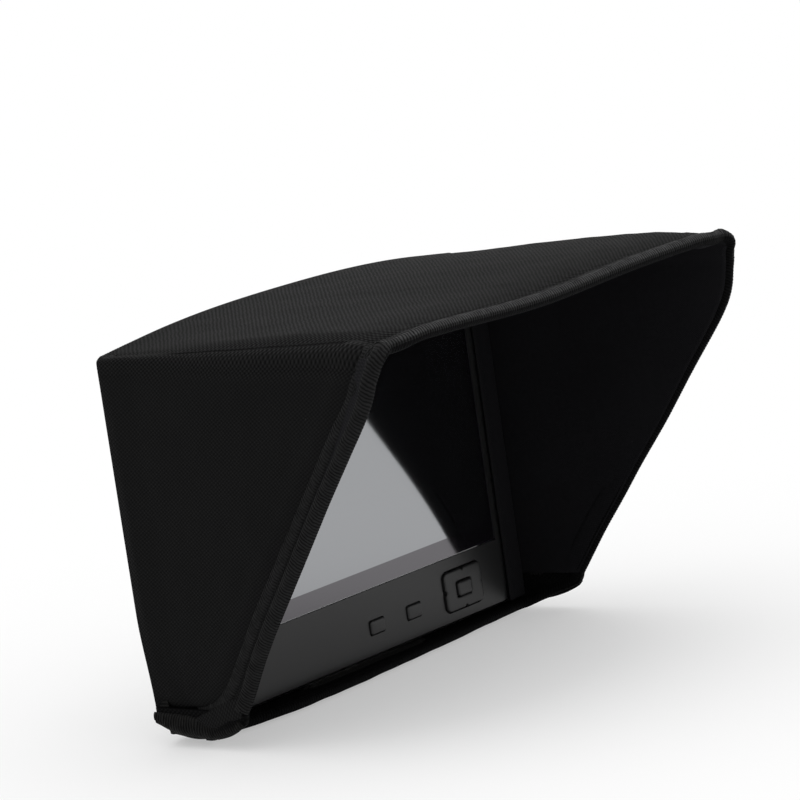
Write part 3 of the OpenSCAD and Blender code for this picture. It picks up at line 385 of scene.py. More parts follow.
def mixed(tree, share, one, two):
    made = node(tree, "ShaderNodeMix", data_type="RGBA")
    feed(tree, made.inputs["Factor"], share)
    feed(tree, made.inputs[6], one)
    feed(tree, made.inputs[7], two)
    return made.outputs[2]


def cloud(tree, vector, scale, detail=2.0, roughness=0.5):
    made = node(tree, "ShaderNodeTexNoise")
    feed(tree, made.inputs["Vector"], vector)
    made.inputs["Scale"].default_value = scale
    made.inputs["Detail"].default_value = detail
    made.inputs["Roughness"].default_value = roughness
    return made.outputs["Fac"]


def object_place(tree):
    return node(tree, "ShaderNodeTexCoord").outputs["Object"]


def cloth_place(tree):
    return node(tree, "ShaderNodeUVMap", uv_map="cloth").outputs[0]


def axes_of(tree, place):
    made = node(tree, "ShaderNodeSeparateXYZ")
    tree.links.new(place, made.inputs[0])
    return made.outputs


def scaled(tree, vector, factor):
    made = node(tree, "ShaderNodeVectorMath", operation="SCALE")
    feed(tree, made.inputs[0], vector)
    feed(tree, made.inputs["Scale"], factor)
    return made.outputs[0]


def new_group(name, inputs, outputs):
    tree = bpy.data.node_groups.new(name, "ShaderNodeTree")
    for label, kind, value in inputs:
        made = tree.interface.new_socket(name=label, in_out="INPUT", socket_type=kind)
        if value is not None:
            made.default_value = value
    for label in outputs:
        tree.interface.new_socket(name=label, in_out="OUTPUT", socket_type="NodeSocketFloat")
    return tree, node(tree, "NodeGroupInput").outputs, node(tree, "NodeGroupOutput").inputs


def plain_weave():
    """Threads over and under each other, from a place on the cloth in millimetres."""
    tree, given, result = new_group("plain_weave", [
        ("Place", "NodeSocketVector", None), ("Across", "NodeSocketFloat", 0.6),
        ("Along", "NodeSocketFloat", 0.6)], ["Height", "Pit"])
    bent = node(tree, "ShaderNodeVectorMath", operation="ADD")
    drift = node(tree, "ShaderNodeTexNoise")
    drift.inputs["Scale"].default_value = 0.16
    tree.links.new(given["Place"], drift.inputs["Vector"])
    tree.links.new(given["Place"], bent.inputs[0])
    tree.links.new(scaled(tree, drift.outputs["Color"], 1.1), bent.inputs[1])
    axes = axes_of(tree, bent.outputs[0])
    u = sums(tree, "MULTIPLY", sums(tree, "DIVIDE", axes[0], given["Across"]), math.pi)
    v = sums(tree, "MULTIPLY", sums(tree, "DIVIDE", axes[1], given["Along"]), math.pi)
    cells = sums(tree, "MULTIPLY", sums(tree, "SINE", u), sums(tree, "SINE", v))
    height = sums(tree, "MULTIPLY_ADD", cells, 0.5, 0.5)
    uneven = sums(tree, "MULTIPLY_ADD", cloud(tree, given["Place"], 0.9, 3.0), 0.6, 0.7)
    tree.links.new(sums(tree, "MULTIPLY", height, uneven), result["Height"])
    tree.links.new(sums(tree, "SUBTRACT", 1.0, height), result["Pit"])
    return tree


def serging():
    """Threads laid side by side across an edge, slightly slanted, from millimetres along and across."""
    tree, given, result = new_group("serging", [
        ("Place", "NodeSocketVector", None), ("Pitch", "NodeSocketFloat", 1.3),
        ("Slant", "NodeSocketFloat", 0.12)], ["Height", "Pit"])
    axes = axes_of(tree, given["Place"])
    wobble = sums(tree, "MULTIPLY", cloud(tree, given["Place"], 0.35, 2.0), 1.2)
    run = sums(tree, "ADD", sums(tree, "MULTIPLY_ADD", axes[1], given["Slant"], axes[0]), wobble)
    turn = sums(tree, "DIVIDE", sums(tree, "MULTIPLY", run, math.pi), given["Pitch"])
    thread = sums(tree, "ABSOLUTE", sums(tree, "SINE", turn))
    strands = sums(tree, "ABSOLUTE", sums(tree, "SINE", sums(tree, "MULTIPLY", turn, 3.0)))
    height = sums(tree, "MULTIPLY_ADD", thread, 0.75, sums(tree, "MULTIPLY", strands, 0.25))
    tree.links.new(height, result["Height"])
    tree.links.new(sums(tree, "SUBTRACT", 1.0, thread), result["Pit"])
    return tree


def lint():
    """Small specks of lint and dust, rare and uneven."""
    tree, given, result = new_group("lint", [
        ("Place", "NodeSocketVector", None), ("Spacing", "NodeSocketFloat", 9.0)], ["Speck"])
    cells = node(tree, "ShaderNodeTexVoronoi", feature="F1")
    shrunk = node(tree, "ShaderNodeVectorMath", operation="DIVIDE")
    tree.links.new(given["Place"], shrunk.inputs[0])
    tree.links.new(given["Spacing"], shrunk.inputs[1])
    tree.links.new(shrunk.outputs[0], cells.inputs["Vector"])
    cells.inputs["Scale"].default_value = 1.0
    near = spread_to(tree, cells.outputs["Distance"], 0.0, 0.045, 1.0, 0.0)
    rare = sums(tree, "GREATER_THAN", cloud(tree, given["Place"], 0.05, 1.0), 0.52)
    tree.links.new(sums(tree, "MULTIPLY", near, rare), result["Speck"])
    return tree


WEAVE, SERGE, LINT = plain_weave(), serging(), lint()


def begin(name):
    made = bpy.data.materials.new(name)
    made.use_nodes = True
    return made, made.node_tree, made.node_tree.nodes["Principled BSDF"]


def relief(tree, shader, height, strength, distance=0.001):
    bump = node(tree, "ShaderNodeBump")
    bump.inputs["Strength"].default_value = strength
    bump.inputs["Distance"].default_value = distance
    feed(tree, bump.inputs["Height"], height)
    tree.links.new(bump.outputs[0], shader.inputs["Normal"])


def group_of(tree, group, place, **values):
    made = node(tree, "ShaderNodeGroup", node_tree=group)
    tree.links.new(place, made.inputs["Place"])
    for name, value in values.items():
        feed(tree, made.inputs[name], value)
    return made.outputs


def nylon(name, dark, light, thread, gloss=0.05, rough=0.62, bump=0.8, tint=(1, 1, 1, 1), flat_shaded_side=False):
    """Coated nylon cloth: woven threads, painted shade in the pits between them, a little lint. When asked,
    the weave past the fold from the top to the sides is pressed flatter and painted darker, as painted shade,
    since the sides get less light than the top."""
    made, tree, shader = begin(name)
    place = cloth_place(tree)
    weave = group_of(tree, WEAVE, place, Across=thread[0], Along=thread[-1])
    height = weave["Height"]
    if flat_shaded_side:
        # past the fold: a flatter weave, and a darker colour painted as shade on the sides
        flat_and_shaded = spread_to(tree, sums(tree, "ABSOLUTE", axes_of(tree, place)[0]), 98.0, 107.0)
        light = mixed(tree, flat_and_shaded, light, (0.0052, 0.0052, 0.0053, 1))
        dark = mixed(tree, flat_and_shaded, dark, (0.003, 0.003, 0.0031, 1))
        height = sums(tree, "MULTIPLY", height, spread_to(tree, flat_and_shaded, 0.0, 1.0, 1.0, 0.42))
    speck = group_of(tree, LINT, place)["Speck"]
    tone = sums(tree, "MULTIPLY_ADD", cloud(tree, place, 0.02, 4.0), 0.5, 0.75)
    # random tone, and painted shade: the pits between the threads get the darker colour
    tone_and_pit_shade = scaled(tree, mixed(tree, weave["Pit"], light, dark), tone)
    dusty = mixed(tree, sums(tree, "MULTIPLY", speck, 0.4), tone_and_pit_shade, (0.05, 0.05, 0.053, 1))
    feed(tree, shader.inputs["Base Color"], dusty)
    feed(tree, shader.inputs["Roughness"], sums(tree, "MULTIPLY_ADD", weave["Pit"], 0.25, rough))
    shader.inputs["Specular IOR Level"].default_value = gloss
    shader.inputs["Specular Tint"].default_value = tint
    relief(tree, shader, height, bump, 0.0004)
    return made


def binding(name, dark, light, pitch, slant, gloss=0.06, bump=0.8, crest_highlight=None):
    """Sewing threads side by side over an edge, with painted shade in the pits between them. The highlight row
    gives a painted highlight where a row across the threads on the crest catches the light: from and to, half
    how long it is, and its colour."""
    made, tree, shader = begin(name)
    place = cloth_place(tree)
    threads = group_of(tree, SERGE, place, Pitch=pitch, Slant=slant)
    tone = sums(tree, "MULTIPLY_ADD", cloud(tree, place, 0.25, 3.0), 0.9, 0.55)
    # painted highlight: a lighter colour on a row along the crest, on the top only
    if crest_highlight:
        axes = axes_of(tree, place)
        low, high, half_length, highlight_colour = crest_highlight
        near = sums(tree, "MULTIPLY", spread_to(tree, axes[1], low - 0.5, low + 0.3),
                    spread_to(tree, axes[1], high + 0.5, high - 0.3))
        on_top = spread_to(tree, sums(tree, "ABSOLUTE", axes[0]), half_length + 8, half_length - 8)
        light = mixed(tree, sums(tree, "MULTIPLY", near, on_top), light, highlight_colour)
    # painted shade: the pits between the threads get the darker colour
    feed(tree, shader.inputs["Base Color"], scaled(tree, mixed(tree, threads["Pit"], light, dark), tone))
    feed(tree, shader.inputs["Roughness"], sums(tree, "MULTIPLY_ADD", threads["Pit"], 0.25, 0.6))
    shader.inputs["Specular IOR Level"].default_value = gloss
    relief(tree, shader, threads["Height"], bump, 0.0005)
    return made


def moulded(name, colour, rough, metal=0.0, grain=2600.0, bump=0.12, uneven=0.06, spread=0.25, gloss=0.5):
    """Moulded, cast or turned stuff: fine grain, slightly uneven tone and polish."""
    made, tree, shader = begin(name)
    place = object_place(tree)
    fine = cloud(tree, place, grain, 3.0, 0.6)
    broad = cloud(tree, place, 28.0, 3.0, 0.55)
    darker = tuple(c * (1 - spread) for c in colour) + (1,)
    lighter = tuple(min(1.0, c * (1 + spread)) for c in colour) + (1,)
    feed(tree, shader.inputs["Base Color"], mixed(tree, broad, darker, lighter))
    feed(tree, shader.inputs["Roughness"], sums(tree, "MULTIPLY_ADD", broad, uneven * 2, rough - uneven))
    shader.inputs["Metallic"].default_value = metal
    shader.inputs["Specular IOR Level"].default_value = gloss
    relief(tree, shader, fine, bump, 0.0002)
    return made


def brushed(name, colour, rough, stretch, scale=900.0):
    """Rolled or turned metal, with fine lines along one direction."""
    made, tree, shader = begin(name)
    place = node(tree, "ShaderNodeMapping")
    place.inputs["Scale"].default_value = stretch
    tree.links.new(object_place(tree), place.inputs[0])
    lines = cloud(tree, place.outputs[0], scale, 2.0)
    dull = cloud(tree, object_place(tree), 60.0, 3.0)
    darker = tuple(c * 0.85 for c in colour) + (1,)
    feed(tree, shader.inputs["Base Color"], mixed(tree, dull, darker, colour + (1,)))
    feed(tree, shader.inputs["Roughness"], sums(tree, "MULTIPLY_ADD", lines, 0.2, rough - 0.1))
    shader.inputs["Metallic"].default_value = 1.0
    relief(tree, shader, lines, 0.15, 0.0001)
    return made


def mirror_glass(name, colour, ior, rough, tint):
    """A dark screen or print behind polished glass, whose faint smears only change its polish."""
    made, tree, shader = begin(name)
    place = object_place(tree)
    smear = cloud(tree, place, 22.0, 4.0, 0.6)
    feed(tree, shader.inputs["Roughness"], sums(tree, "MULTIPLY_ADD", smear, 0.05, rough))
    darker = tuple(c * 0.9 for c in colour) + (1,)
    feed(tree, shader.inputs["Base Color"], mixed(tree, smear, darker, colour + (1,)))
    shader.inputs["IOR"].default_value = ior
    shader.inputs["Specular Tint"].default_value = tint
    relief(tree, shader, cloud(tree, place, 9.0, 1.0), 0.02, 0.0005)
    return made


def circuit(name):
    """Green solder mask with copper tracks under it."""
    made, tree, shader = begin(name)
    cells = node(tree, "ShaderNodeTexVoronoi", feature="F1", distance="MANHATTAN")
    tree.links.new(object_place(tree), cells.inputs["Vector"])
    cells.inputs["Scale"].default_value = 240.0
    bands = sums(tree, "FRACT", sums(tree, "MULTIPLY", cells.outputs["Distance"], 6.0))
    tracks = sums(tree, "GREATER_THAN", bands, 0.6)
    green = mixed(tree, tracks, (0.01, 0.06, 0.03, 1), (0.02, 0.12, 0.05, 1))
    feed(tree, shader.inputs["Base Color"], green)
    feed(tree, shader.inputs["Roughness"], sums(tree, "MULTIPLY_ADD", tracks, 0.1, 0.35))
    relief(tree, shader, tracks, 0.2, 0.0001)
    return made


HOOD_CLOTH = nylon("hood_nylon", (0.0008, 0.0008, 0.0009, 1), (0.0105, 0.0105, 0.0106, 1), (0.96, 0.907),
                   bump=1.0, flat_shaded_side=True)
BAND_CLOTH = nylon("band_nylon", (0.0012, 0.0012, 0.0013, 1), (0.004, 0.004, 0.0042, 1), (0.6,),
                   gloss=0.03)
LINING_CLOTH = nylon("hood_lining", (0.0045, 0.0045, 0.005, 1), (0.0095, 0.0092, 0.0105, 1), (0.5,),
                     gloss=0.08, rough=0.8, bump=0.25, tint=(0.95, 0.95, 1, 1))
TAPE_CLOTH = nylon("binding_cloth", (0.0025, 0.0025, 0.0026, 1), (0.0085, 0.0085, 0.0087, 1), (0.75,),
                   bump=0.6)
# the last tuple paints a highlight along the roll's crest on the top
TAPE_THREADS = binding("edge_threads", (0.0008, 0.0008, 0.0009, 1), (0.0135, 0.0135, 0.0137, 1),
                       THREAD_PITCH, 0.25, crest_highlight=(3.4, 7.0, 96.0, (0.055, 0.055, 0.056, 1)))
ROW_THREADS = binding("row_threads", (0.001, 0.001, 0.0011, 1), (0.013, 0.013, 0.0132, 1),
                      THREAD_PITCH, 0.2)
INNER_THREADS = binding("inner_threads", (0.001, 0.001, 0.0011, 1), (0.004, 0.004, 0.0043, 1),
                        THREAD_PITCH, 0.25, gloss=0.03)
SEAM_THREADS = binding("seam_threads", (0.0008, 0.0008, 0.0008, 1), (0.009, 0.0088, 0.0086, 1),
                       THREAD_PITCH, 0.05)
BEZEL = moulded("bezel_plastic", (0.012, 0.012, 0.0124), 0.3, grain=3200.0, bump=0.08, gloss=0.38)
CASE = moulded("case_plastic", (0.02, 0.02, 0.0205), 0.5, grain=2400.0, bump=0.2)
KEYS = moulded("key_plastic", (0.014, 0.014, 0.0144), 0.34, grain=3000.0, bump=0.08, gloss=0.36)
PANE = mirror_glass("cover_glass", (0.003, 0.003, 0.0035), 3.8, 0.03, (0.95, 0.97, 1, 1))
PRINT = mirror_glass("printed_border", (0.004, 0.0035, 0.005), 2.13, 0.05, (0.98, 0.94, 1, 1))
# light grey ground glass edge, also a painted highlight where the pane's lower edge catches the light
GROUND_EDGE_HIGHLIGHT = moulded("ground_glass_highlight", (0.4, 0.4, 0.41), 0.5)
DISPLAY = moulded("display", (0.01, 0.01, 0.012), 0.2)
GUIDE = moulded("light_guide", (0.7, 0.72, 0.72), 0.3, grain=400.0)
STEEL = brushed("sheet_metal", (0.55, 0.56, 0.58), 0.35, (1, 1, 0.05))
BOARD = circuit("circuit_board")
MAT = moulded("silicone", (0.12, 0.12, 0.125), 0.7)
CONTACT = brushed("contact_metal", (0.83, 0.66, 0.35), 0.25, (0.1, 1, 1))
SCREWS = brushed("screw_steel", (0.35, 0.35, 0.36), 0.3, (1, 0.1, 1), 1500.0)
BRASS = brushed("insert_brass", (0.75, 0.55, 0.25), 0.3, (1, 1, 0.1))
RIBBON = moulded("flat_cable", (0.75, 0.74, 0.7), 0.45, grain=600.0)
STIFFENER = moulded("stiffener", (0.3, 0.28, 0.25), 0.8)

FINISHES = {
    "bezel_plastic": BEZEL, "case_plastic": CASE, "key_plastic": KEYS, "cover_glass": PANE,
    "display": DISPLAY, "light_guide": GUIDE, "sheet_metal": STEEL, "circuit_board": BOARD,
    "silicone": MAT, "contact_metal": CONTACT, "screw_steel": SCREWS, "insert_brass": BRASS,
    "flat_cable": RIBBON, "hood_nylon": BAND_CLOTH, "hood_lining": LINING_CLOTH,
    "hood_tape": TAPE_CLOTH, "stiffener": STIFFENER,
}
SLOT_OF = {row["node"]: row["material_slot"] for row in frame["record"]["subparts"]}
for name, carried in frame["nodes"].items():
    chosen = FINISHES[SLOT_OF[name]]
    if carried.material_slots:
        for place in carried.material_slots:
            place.material = chosen
    else:
        carried.data.materials.append(chosen)

# ---- the hood's cloth --------------------------------------------------------------------
def padded_wall(a, b):
    u = 2 * a - 1
    y = REAR_Y + (hood_front(u) + 0.4 - REAR_Y) * b
    point, out = hood_point(u, y, WALL)
    return point + out * wall_relief(u, y)


def cloth_of_hood(a, b):
    """Where a place lies on the flat cloth. On the sides its threads run at a slant."""
    u = 2 * a - 1
    drop = max(0.0, abs(u) - FOLD_SHARE) * GIRTH / 2
    return (u * GIRTH / 2 + math.copysign(0.355 * drop, u), (hood_front(u) - REAR_Y) * b - 0.199 * drop)


shell = piece("hood_shell", cloth_grid(330, 84, padded_wall, cloth_of_hood, True), "hood",
              HOOD_CLOTH)
thicken(shell, 0.8)
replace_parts(shell, "hood_top", "hood_left", "hood_right", "top_board", "left_board", "right_board")


def lining_face(a, b):
    u = 2 * a - 1
    y = REAR_Y + (hood_front(u) + 0.6 - REAR_Y) * b
    point, out = hood_point(u, y, 0.15)
    behind = y - hood_front(u)
    slack = 0.35 * (0.5 + 0.5 * ruffle(point, 14.0, 5.5))
    return point - out * (slack * smooth(0, 12, behind) * smooth(-2, 14, FACE_Y - y))


lining = piece("hood_lining", cloth_grid(220, 70, lining_face, cloth_of_hood), "hood",
               LINING_CLOTH)
thicken(lining, 0.6)
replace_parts(lining, "top_lining", "left_lining", "right_lining")


# ---- the sewn front edge --------------------------------------------------------------------
def edge_at(t, out):
    u = 2 * t - 1
    return hood_point(u, hood_front(u), out)[0]


rim = Track(lambda t: edge_at(t, WALL), lambda t: edge_at(t, 0.0))
# Sections of sewn edges, in millimetres: ahead along the cloth and out of it
ROLL = [(-4.0, 1.6), (-3.8, 2.3), (-3.1, 2.7), (-2.2, 2.8), (-1.1, 2.6), (-0.2, 2.1), (0.6, 1.3), (0.9, 0.4),
        (0.7, -0.5), (0.1, -1.2), (-1.0, -1.6), (-2.2, -1.8), (-3.6, -1.9), (-4.8, -1.95), (-5.8, -2.0),
        (-6.8, -2.0), (-7.5, -1.9), (-7.7, -1.4)]


def loop_through(points, share):
    """A smooth closed line through the points."""
    count = len(points)
    place = share % 1.0 * count
    i = int(place)
    t = place - i
    a, b, c, d = (Vector(points[(i + k - 1) % count]) for k in range(4))
    return 0.5 * (2 * b + (c - a) * t + (2 * a - 5 * b + 4 * c - d) * t * t
                  + (3 * b - a - 3 * c + d) * t ** 3)


def rolled_edge(want, share, half):
    p = loop_through(ROLL, share)
    proud = smooth(1.6, 2.4, abs(p.y)) if p.y > 0 else smooth(1.6, 2.3, -p.y) * 0.6
    nose = smooth(-3, 0.5, p.x)
    thread = stitches(want + 0.25 * p.x, THREAD_PITCH, 0.24)
    thread *= 1 + noise.noise(Vector((want / 1.6, p.x / 3, 8.0)))
    slack = 0.25 * noise.noise(Vector((want / 5.0, p.x / 4, 2.0)))
    return p.x + nose * thread * 0.6, p.y + math.copysign(proud * (thread + slack), p.y)


roll = piece("edge_roll", sewn_edge(rim, 0.26, 36, rolled_edge), "hood",
             [TAPE_THREADS, INNER_THREADS, LINING_CLOTH])
INNER_FROM, LINING_FROM = 8.6, 12.4     # where round the roll the darker threads and the lining begin
laid = roll.data.uv_layers["cloth"].data
for face in roll.data.polygons:
    across = sum(laid[i].uv.y for i in face.loop_indices) / len(face.loop_indices)
    face.material_index = (across > INNER_FROM) + (across > LINING_FROM)
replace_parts(roll, "front_tape")


def flat_tape(a, b):
    """The folded cloth between the rolled edge and the row of stitches."""
    u = 2 * a - 1
    y = hood_front(u) + 2.6 + 4.6 * b
    point, out = hood_point(u, y, WALL)
    proud = wall_relief(u, y) + 0.3 + 0.1 * ruffle(point, 3.0, 1.2) - 0.3 * smooth(0.75, 1.0, b)
    return point + out * proud


tape = piece("edge_tape", cloth_grid(520, 6, flat_tape, lambda a, b: (a * rim.total, b * 5), True),
             "hood", TAPE_CLOTH)
thicken(tape, 0.5)


def stitch_at(t, out):
    u = 2 * t - 1
    y = hood_front(u) + stitch_line(u)
    point, way = hood_point(u, y, WALL)
    return point + way * (wall_relief(u, y) + (0.75 if out else 0.05))


row = Track(lambda t: stitch_at(t, True), lambda t: stitch_at(t, False))
BEAD = [(-2.7, -0.6), (-2.2, 0.25), (-1.0, 0.85), (0.6, 0.9), (1.9, 0.4), (2.6, -0.6), (0.0, -0.9)]


def stitch_bead(want, share, half):
    p = loop_through(BEAD, share)
    ends = smooth(0, 10, min(want, row.total - want))
    on_top = smooth(136, 156, want) * smooth(136, 156, row.total - want)
    up = p.y * (0.6 + 0.4 * ends) * (1 - 0.5 * on_top) - 0.55 * on_top
    thread = stitches(want, THREAD_PITCH, 0.26) * (1 + noise.noise(Vector((want / 1.8, p.x / 3, 3.0))))
    thread *= 1 - 0.6 * on_top
    return p.x * (1 - 0.35 * on_top) * (0.5 + 0.5 * ends), up + smooth(0, 0.6, p.y) * thread


beads = piece("stitch_row", sewn_edge(row, 0.3, 16, stitch_bead), "hood", ROW_THREADS)


# ---- the sleeve's back edge --------------------------------------------------------------------
def rear_at(t, out):
    return hood_point(1 - 2 * t, REAR_Y, out)[0]


back_edge = Track(lambda t: rear_at(t, WALL), lambda t: rear_at(t, 0.3))
HEM = [(-5.5, 0.7), (-5.0, 0.85), (-3.0, 0.9), (-1.0, 0.95), (0.2, 1.25), (0.8, 0.3), (0.7, -0.6), (0.3, -1.2),
       (-1.0, -1.35), (-4.5, -1.3)]


def hem_section(want, share, half):
    p = loop_through(HEM, share)
    out = p.y + (half - 1.6 if p.y > 0 else 1.5 - half)
    return p.x, out + smooth(1.0, 1.3, p.y) * stitches(want, 1.3, 0.1)


hem = piece("sleeve_hem", sewn_edge(back_edge, 0.4, 20, hem_section), "hood", SEAM_THREADS)
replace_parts(hem, "rear_tape")


# ---- the band under the monitor --------------------------------------------------------------------
def band_face(a, b, out):
    g = a * BAND_GIRTH
    front = through(BAND_STOPS, g)
    y = band_rear(g) + (front - band_rear(g)) * b
    point, way = band_point(g, y, out)
    if out > 1:
        point = point + way * (0.2 * ruffle(point, 9.0, 2.2) + 0.35 * math.sin(math.pi * b) - 0.35)
    return point


under = cloth_grid(300, 24, lambda a, b: band_face(a, b, WALL), lambda a, b: (a * BAND_GIRTH, b * 25))
band = piece("hood_band", under, "hood", BAND_CLOTH)
thicken(band, 2.3)
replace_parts(band, "hood_bottom")


def band_edge(t, out, front):
    g = t * BAND_GIRTH
    return band_point(g, through(BAND_STOPS, g) if front else band_rear(g), out)[0]


lower_rim = Track(lambda t: band_edge(1 - t, WALL, True), lambda t: band_edge(1 - t, 0.3, True))
LOWER_ROLL = [(-4.4, 1.1), (-3.9, 1.4), (-2.6, 1.6), (-1.4, 1.55), (-0.4, 1.25), (0.25, 0.65), (0.4, 0.0),
              (0.2, -0.7), (-0.4, -1.25), (-1.4, -1.5), (-2.8, -1.5), (-3.8, -1.3)]


def lower_roll(want, share, half):
    p = loop_through(LOWER_ROLL, share)
    foot = smooth(26, 8, min(want, lower_rim.total - want))
    thread = stitches(want + 0.2 * p.x, THREAD_PITCH, 0.1 + 0.16 * foot)
    proud = smooth(0.9, 1.5, abs(p.y))
    return p.x + 0.5 * thread * smooth(-1, 0.4, p.x) - 0.6 * foot, p.y + math.copysign(proud * thread, p.y)


lower = piece("band_roll", sewn_edge(lower_rim, 0.36, 24, lower_roll), "hood",
              INNER_THREADS)

rear_rim = Track(lambda t: band_edge(t, WALL, False), lambda t: band_edge(t, 0.3, False))


def band_hem(want, share, half):
    p = loop_through(HEM, share)
    return p.x * 0.8, (p.y + 0.2 if p.y > 0 else p.y - 0.1)


rear_hem = piece("band_hem", sewn_edge(rear_rim, 0.8, 14, band_hem), "hood", SEAM_THREADS)


# ---- the wide row of threads under each seam, and the folded cloth at the foot ------------------
# Share of the row's length from the back, with its depth y and how far round the band it lies
SEAM_PATH = [(0.0, (3.8, 4.2)), (0.25, (-7.0, 4.9)), (0.42, (-14.5, 5.6)), (0.58, (-21.5, 7.2)),
             (0.74, (-28.5, 6.2)), (0.88, (-33.8, 4.2)), (1.0, (-37.0, 2.2))]
BAND_BEAD = [(-4.1, -0.7), (-3.7, 0.15), (-2.4, 0.8), (-0.7, 1.15), (1.1, 1.05), (2.7, 0.55), (3.8, 0.0),
             (4.2, -0.7), (2.0, -1.0), (-2.0, -1.0)]


def seam_at(t, out, hand):
    y = through([(k, p[0]) for k, p in SEAM_PATH], t)
    g = through([(k, p[1]) for k, p in SEAM_PATH], t)
    point, way = band_point(g if hand < 0 else BAND_GIRTH - g, y, WALL)
    return point + way * (0.45 if out else -0.45)


def leaf_face(a, b, hand):
    """A leaf of cloth between the row of stitches and the wide threads below it."""
    y = -14.6 - 24.4 * a
    low = through([(-39, 7.6), (-34.4, 5.6), (-24.5, 2.6), (-14.6, 4.0)], y)
    high = through([(-39, 15.5), (-33, 14.6), (-23.6, 9.8), (-14.6, 6.0)], y)
    z = low + (high - low) * b
    width = INSIDE + WALL + SPREAD * (FACE_Y - y)
    fold = 0.5 * math.sin(math.pi * b) ** 0.7 + 0.12 * ruffle((y, z, 0), 3.5, 6.0)
    lift = -0.5 + 1.0 * smooth(0, 0.12, a) * smooth(0, 0.1, b) * smooth(0, 0.12, 1 - b) + fold
    return Vector((hand * (width + lift), y, z))


feet = []
for hand, side in ((-1, "left"), (1, "right")):
    way_round = Track(lambda t: seam_at(t if hand < 0 else 1 - t, True, hand),
                      lambda t: seam_at(t if hand < 0 else 1 - t, False, hand), samples=300)

    def wide_bead(want, share, half):
        p = loop_through(BAND_BEAD, share)
        front = (want if hand < 0 else way_round.total - want) / way_round.total
        slim = (1 if hand < 0 else 0.8) * (1 - 0.6 * smooth(0.4, 1.0, front))
        slim *= 0.72 + 0.28 * smooth(0, 0.35, front)
        if p.x > 0:
            slim *= smooth(-0.12, 0.16, front)
        thread = stitches(want + 0.15 * p.x, THREAD_PITCH, 0.3)
        thread *= 1 + noise.noise(Vector((want / 2, p.x / 3, 5.0)))
        swell = 0.85 + 0.5 * smooth(0.0, 0.12, front) - 0.3 * smooth(0.3, 0.8, front)
        return p.x * slim, p.y * swell * slim + smooth(0, 0.8, p.y) * thread

    made = piece("seam_band_" + side, sewn_edge(way_round, 0.3, 22, wide_bead), "hood",
                 SEAM_THREADS)
    if side == "left":
        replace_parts(made, "seam_tapes")
    folded = cloth_grid(50, 16, lambda a, b: leaf_face(a, b, hand), lambda a, b: (24 * a, 7 * b), hand > 0)
    leaf = piece("foot_leaf_" + side, folded, "hood", TAPE_CLOTH)
    thicken(leaf, 0.4)
    feet += [made, leaf]

# ---- the lips on the bezel --------------------------------------------------------------------
def flap(name, x0, x1, z0, z1, free, stands_for):
    """A flap of cloth with a turned edge on its free side, which lies against the bezel."""
    across, up = x1 - x0, z1 - z0

    def place(a, b):
        x, z = x0 + across * a, z0 + up * b
        edge = {"+x": 1 - a, "-x": a, "-z": b}[free] * (across if "x" in free else up)
        turned = 0.5 * smooth(3.2, 2.4, edge) * smooth(0.0, 0.8, edge)
        y = -13.55 - turned - 0.12 * (1 + ruffle((x, 0, z), 11.0, 4.0))
        return Vector((x, y, z))

    long_way = max(across, up)
    columns = int(long_way / 1.2) if across == long_way else 20
    rows = int(long_way / 1.2) if up == long_way else 20
    made = piece(name, cloth_grid(columns, rows, place, lambda a, b: (a * across, b * up)), "hood",
                 LINING_CLOTH)
    thicken(made, 0.9)
    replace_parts(made, stands_for)


flap("lip_left", -94.1, -84.3, 0.6, 127.9, "+x", "left_lip")
flap("lip_right", 84.3, 94.1, 0.6, 127.9, "-x", "right_lip")
flap("lip_top", -83.9, 83.9, 121.0, 128.4, "-z", "top_lip")

# ---- keys, pad and screen --------------------------------------------------------------------
def key_rings(half_w, half_h, radius, back, front, soft, dish):
    """Loops of a key: straight sides, a rim rounded by soft, a face that sinks by dish in its middle."""
    rings = [(half_w, half_h, radius, back), (half_w, half_h, radius, front + soft)]
    for i in range(1, 6):
        turn = i / 5 * math.pi / 2
        inset = soft * (1 - math.cos(turn))
        rings.append((half_w - inset, half_h - inset, max(0.2, radius - inset),
                      front + soft - soft * math.sin(turn)))
    for part, deep in ((0.8, 0.25), (0.55, 0.7), (0.3, 0.95), (0.08, 1.0)):
        w, h = half_w - soft, half_h - soft
        rings.append((w * part + 0.01, h * part + 0.01, min(w, h) * part * 0.35, front + dish * deep))
    return rings


LEFT_X, RIGHT_X, PAD_X, KEY_Z, PAD_Z = 6.9, 28.7, 58.6, 11.0, 12.55
for name, stands_for, x, z, front, body in (
        ("left_button", "key_left", LEFT_X, KEY_Z, -13.3, "left_key"),
        ("right_button", "key_right", RIGHT_X, KEY_Z, -13.3, "right_key"),
        ("select_button", "nav_select", PAD_X, PAD_Z, -14.2, "select_key")):
    bm = cap(key_rings(4.2, 2.7, 1.1, FACE_Y + 1.5, front, 0.8, -0.05), (x, 0, z))
    made = piece(name, bm, body, KEYS)
    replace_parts(made, stands_for)


def pad_notch(p, half_w, half_h):
    """Small nicks in the middle of each side of the pad's rim."""
    near = min(abs(p.x) if abs(p.y) > half_h * 0.9 else 9, abs(p.y) if abs(p.x) > half_w * 0.9 else 9)
    return 0.7 * smooth(1.0, 0.3, near) if half_w > 9 else 0.0


PAD_W, PAD_H, PAD_RIM, PAD_RIM_Y = 11.2, 7.6, 2.2, -12.9
rings = [(PAD_W, PAD_H, PAD_RIM, FACE_Y + 1.4), (PAD_W, PAD_H, PAD_RIM, PAD_RIM_Y)]
for i in range(1, 7):
    turn = i / 6 * math.pi / 2
    inset = 0.75 * (1 - math.cos(turn))
    rings.append((PAD_W - inset, PAD_H - inset, PAD_RIM - inset, PAD_RIM_Y - 0.7 * math.sin(turn)))
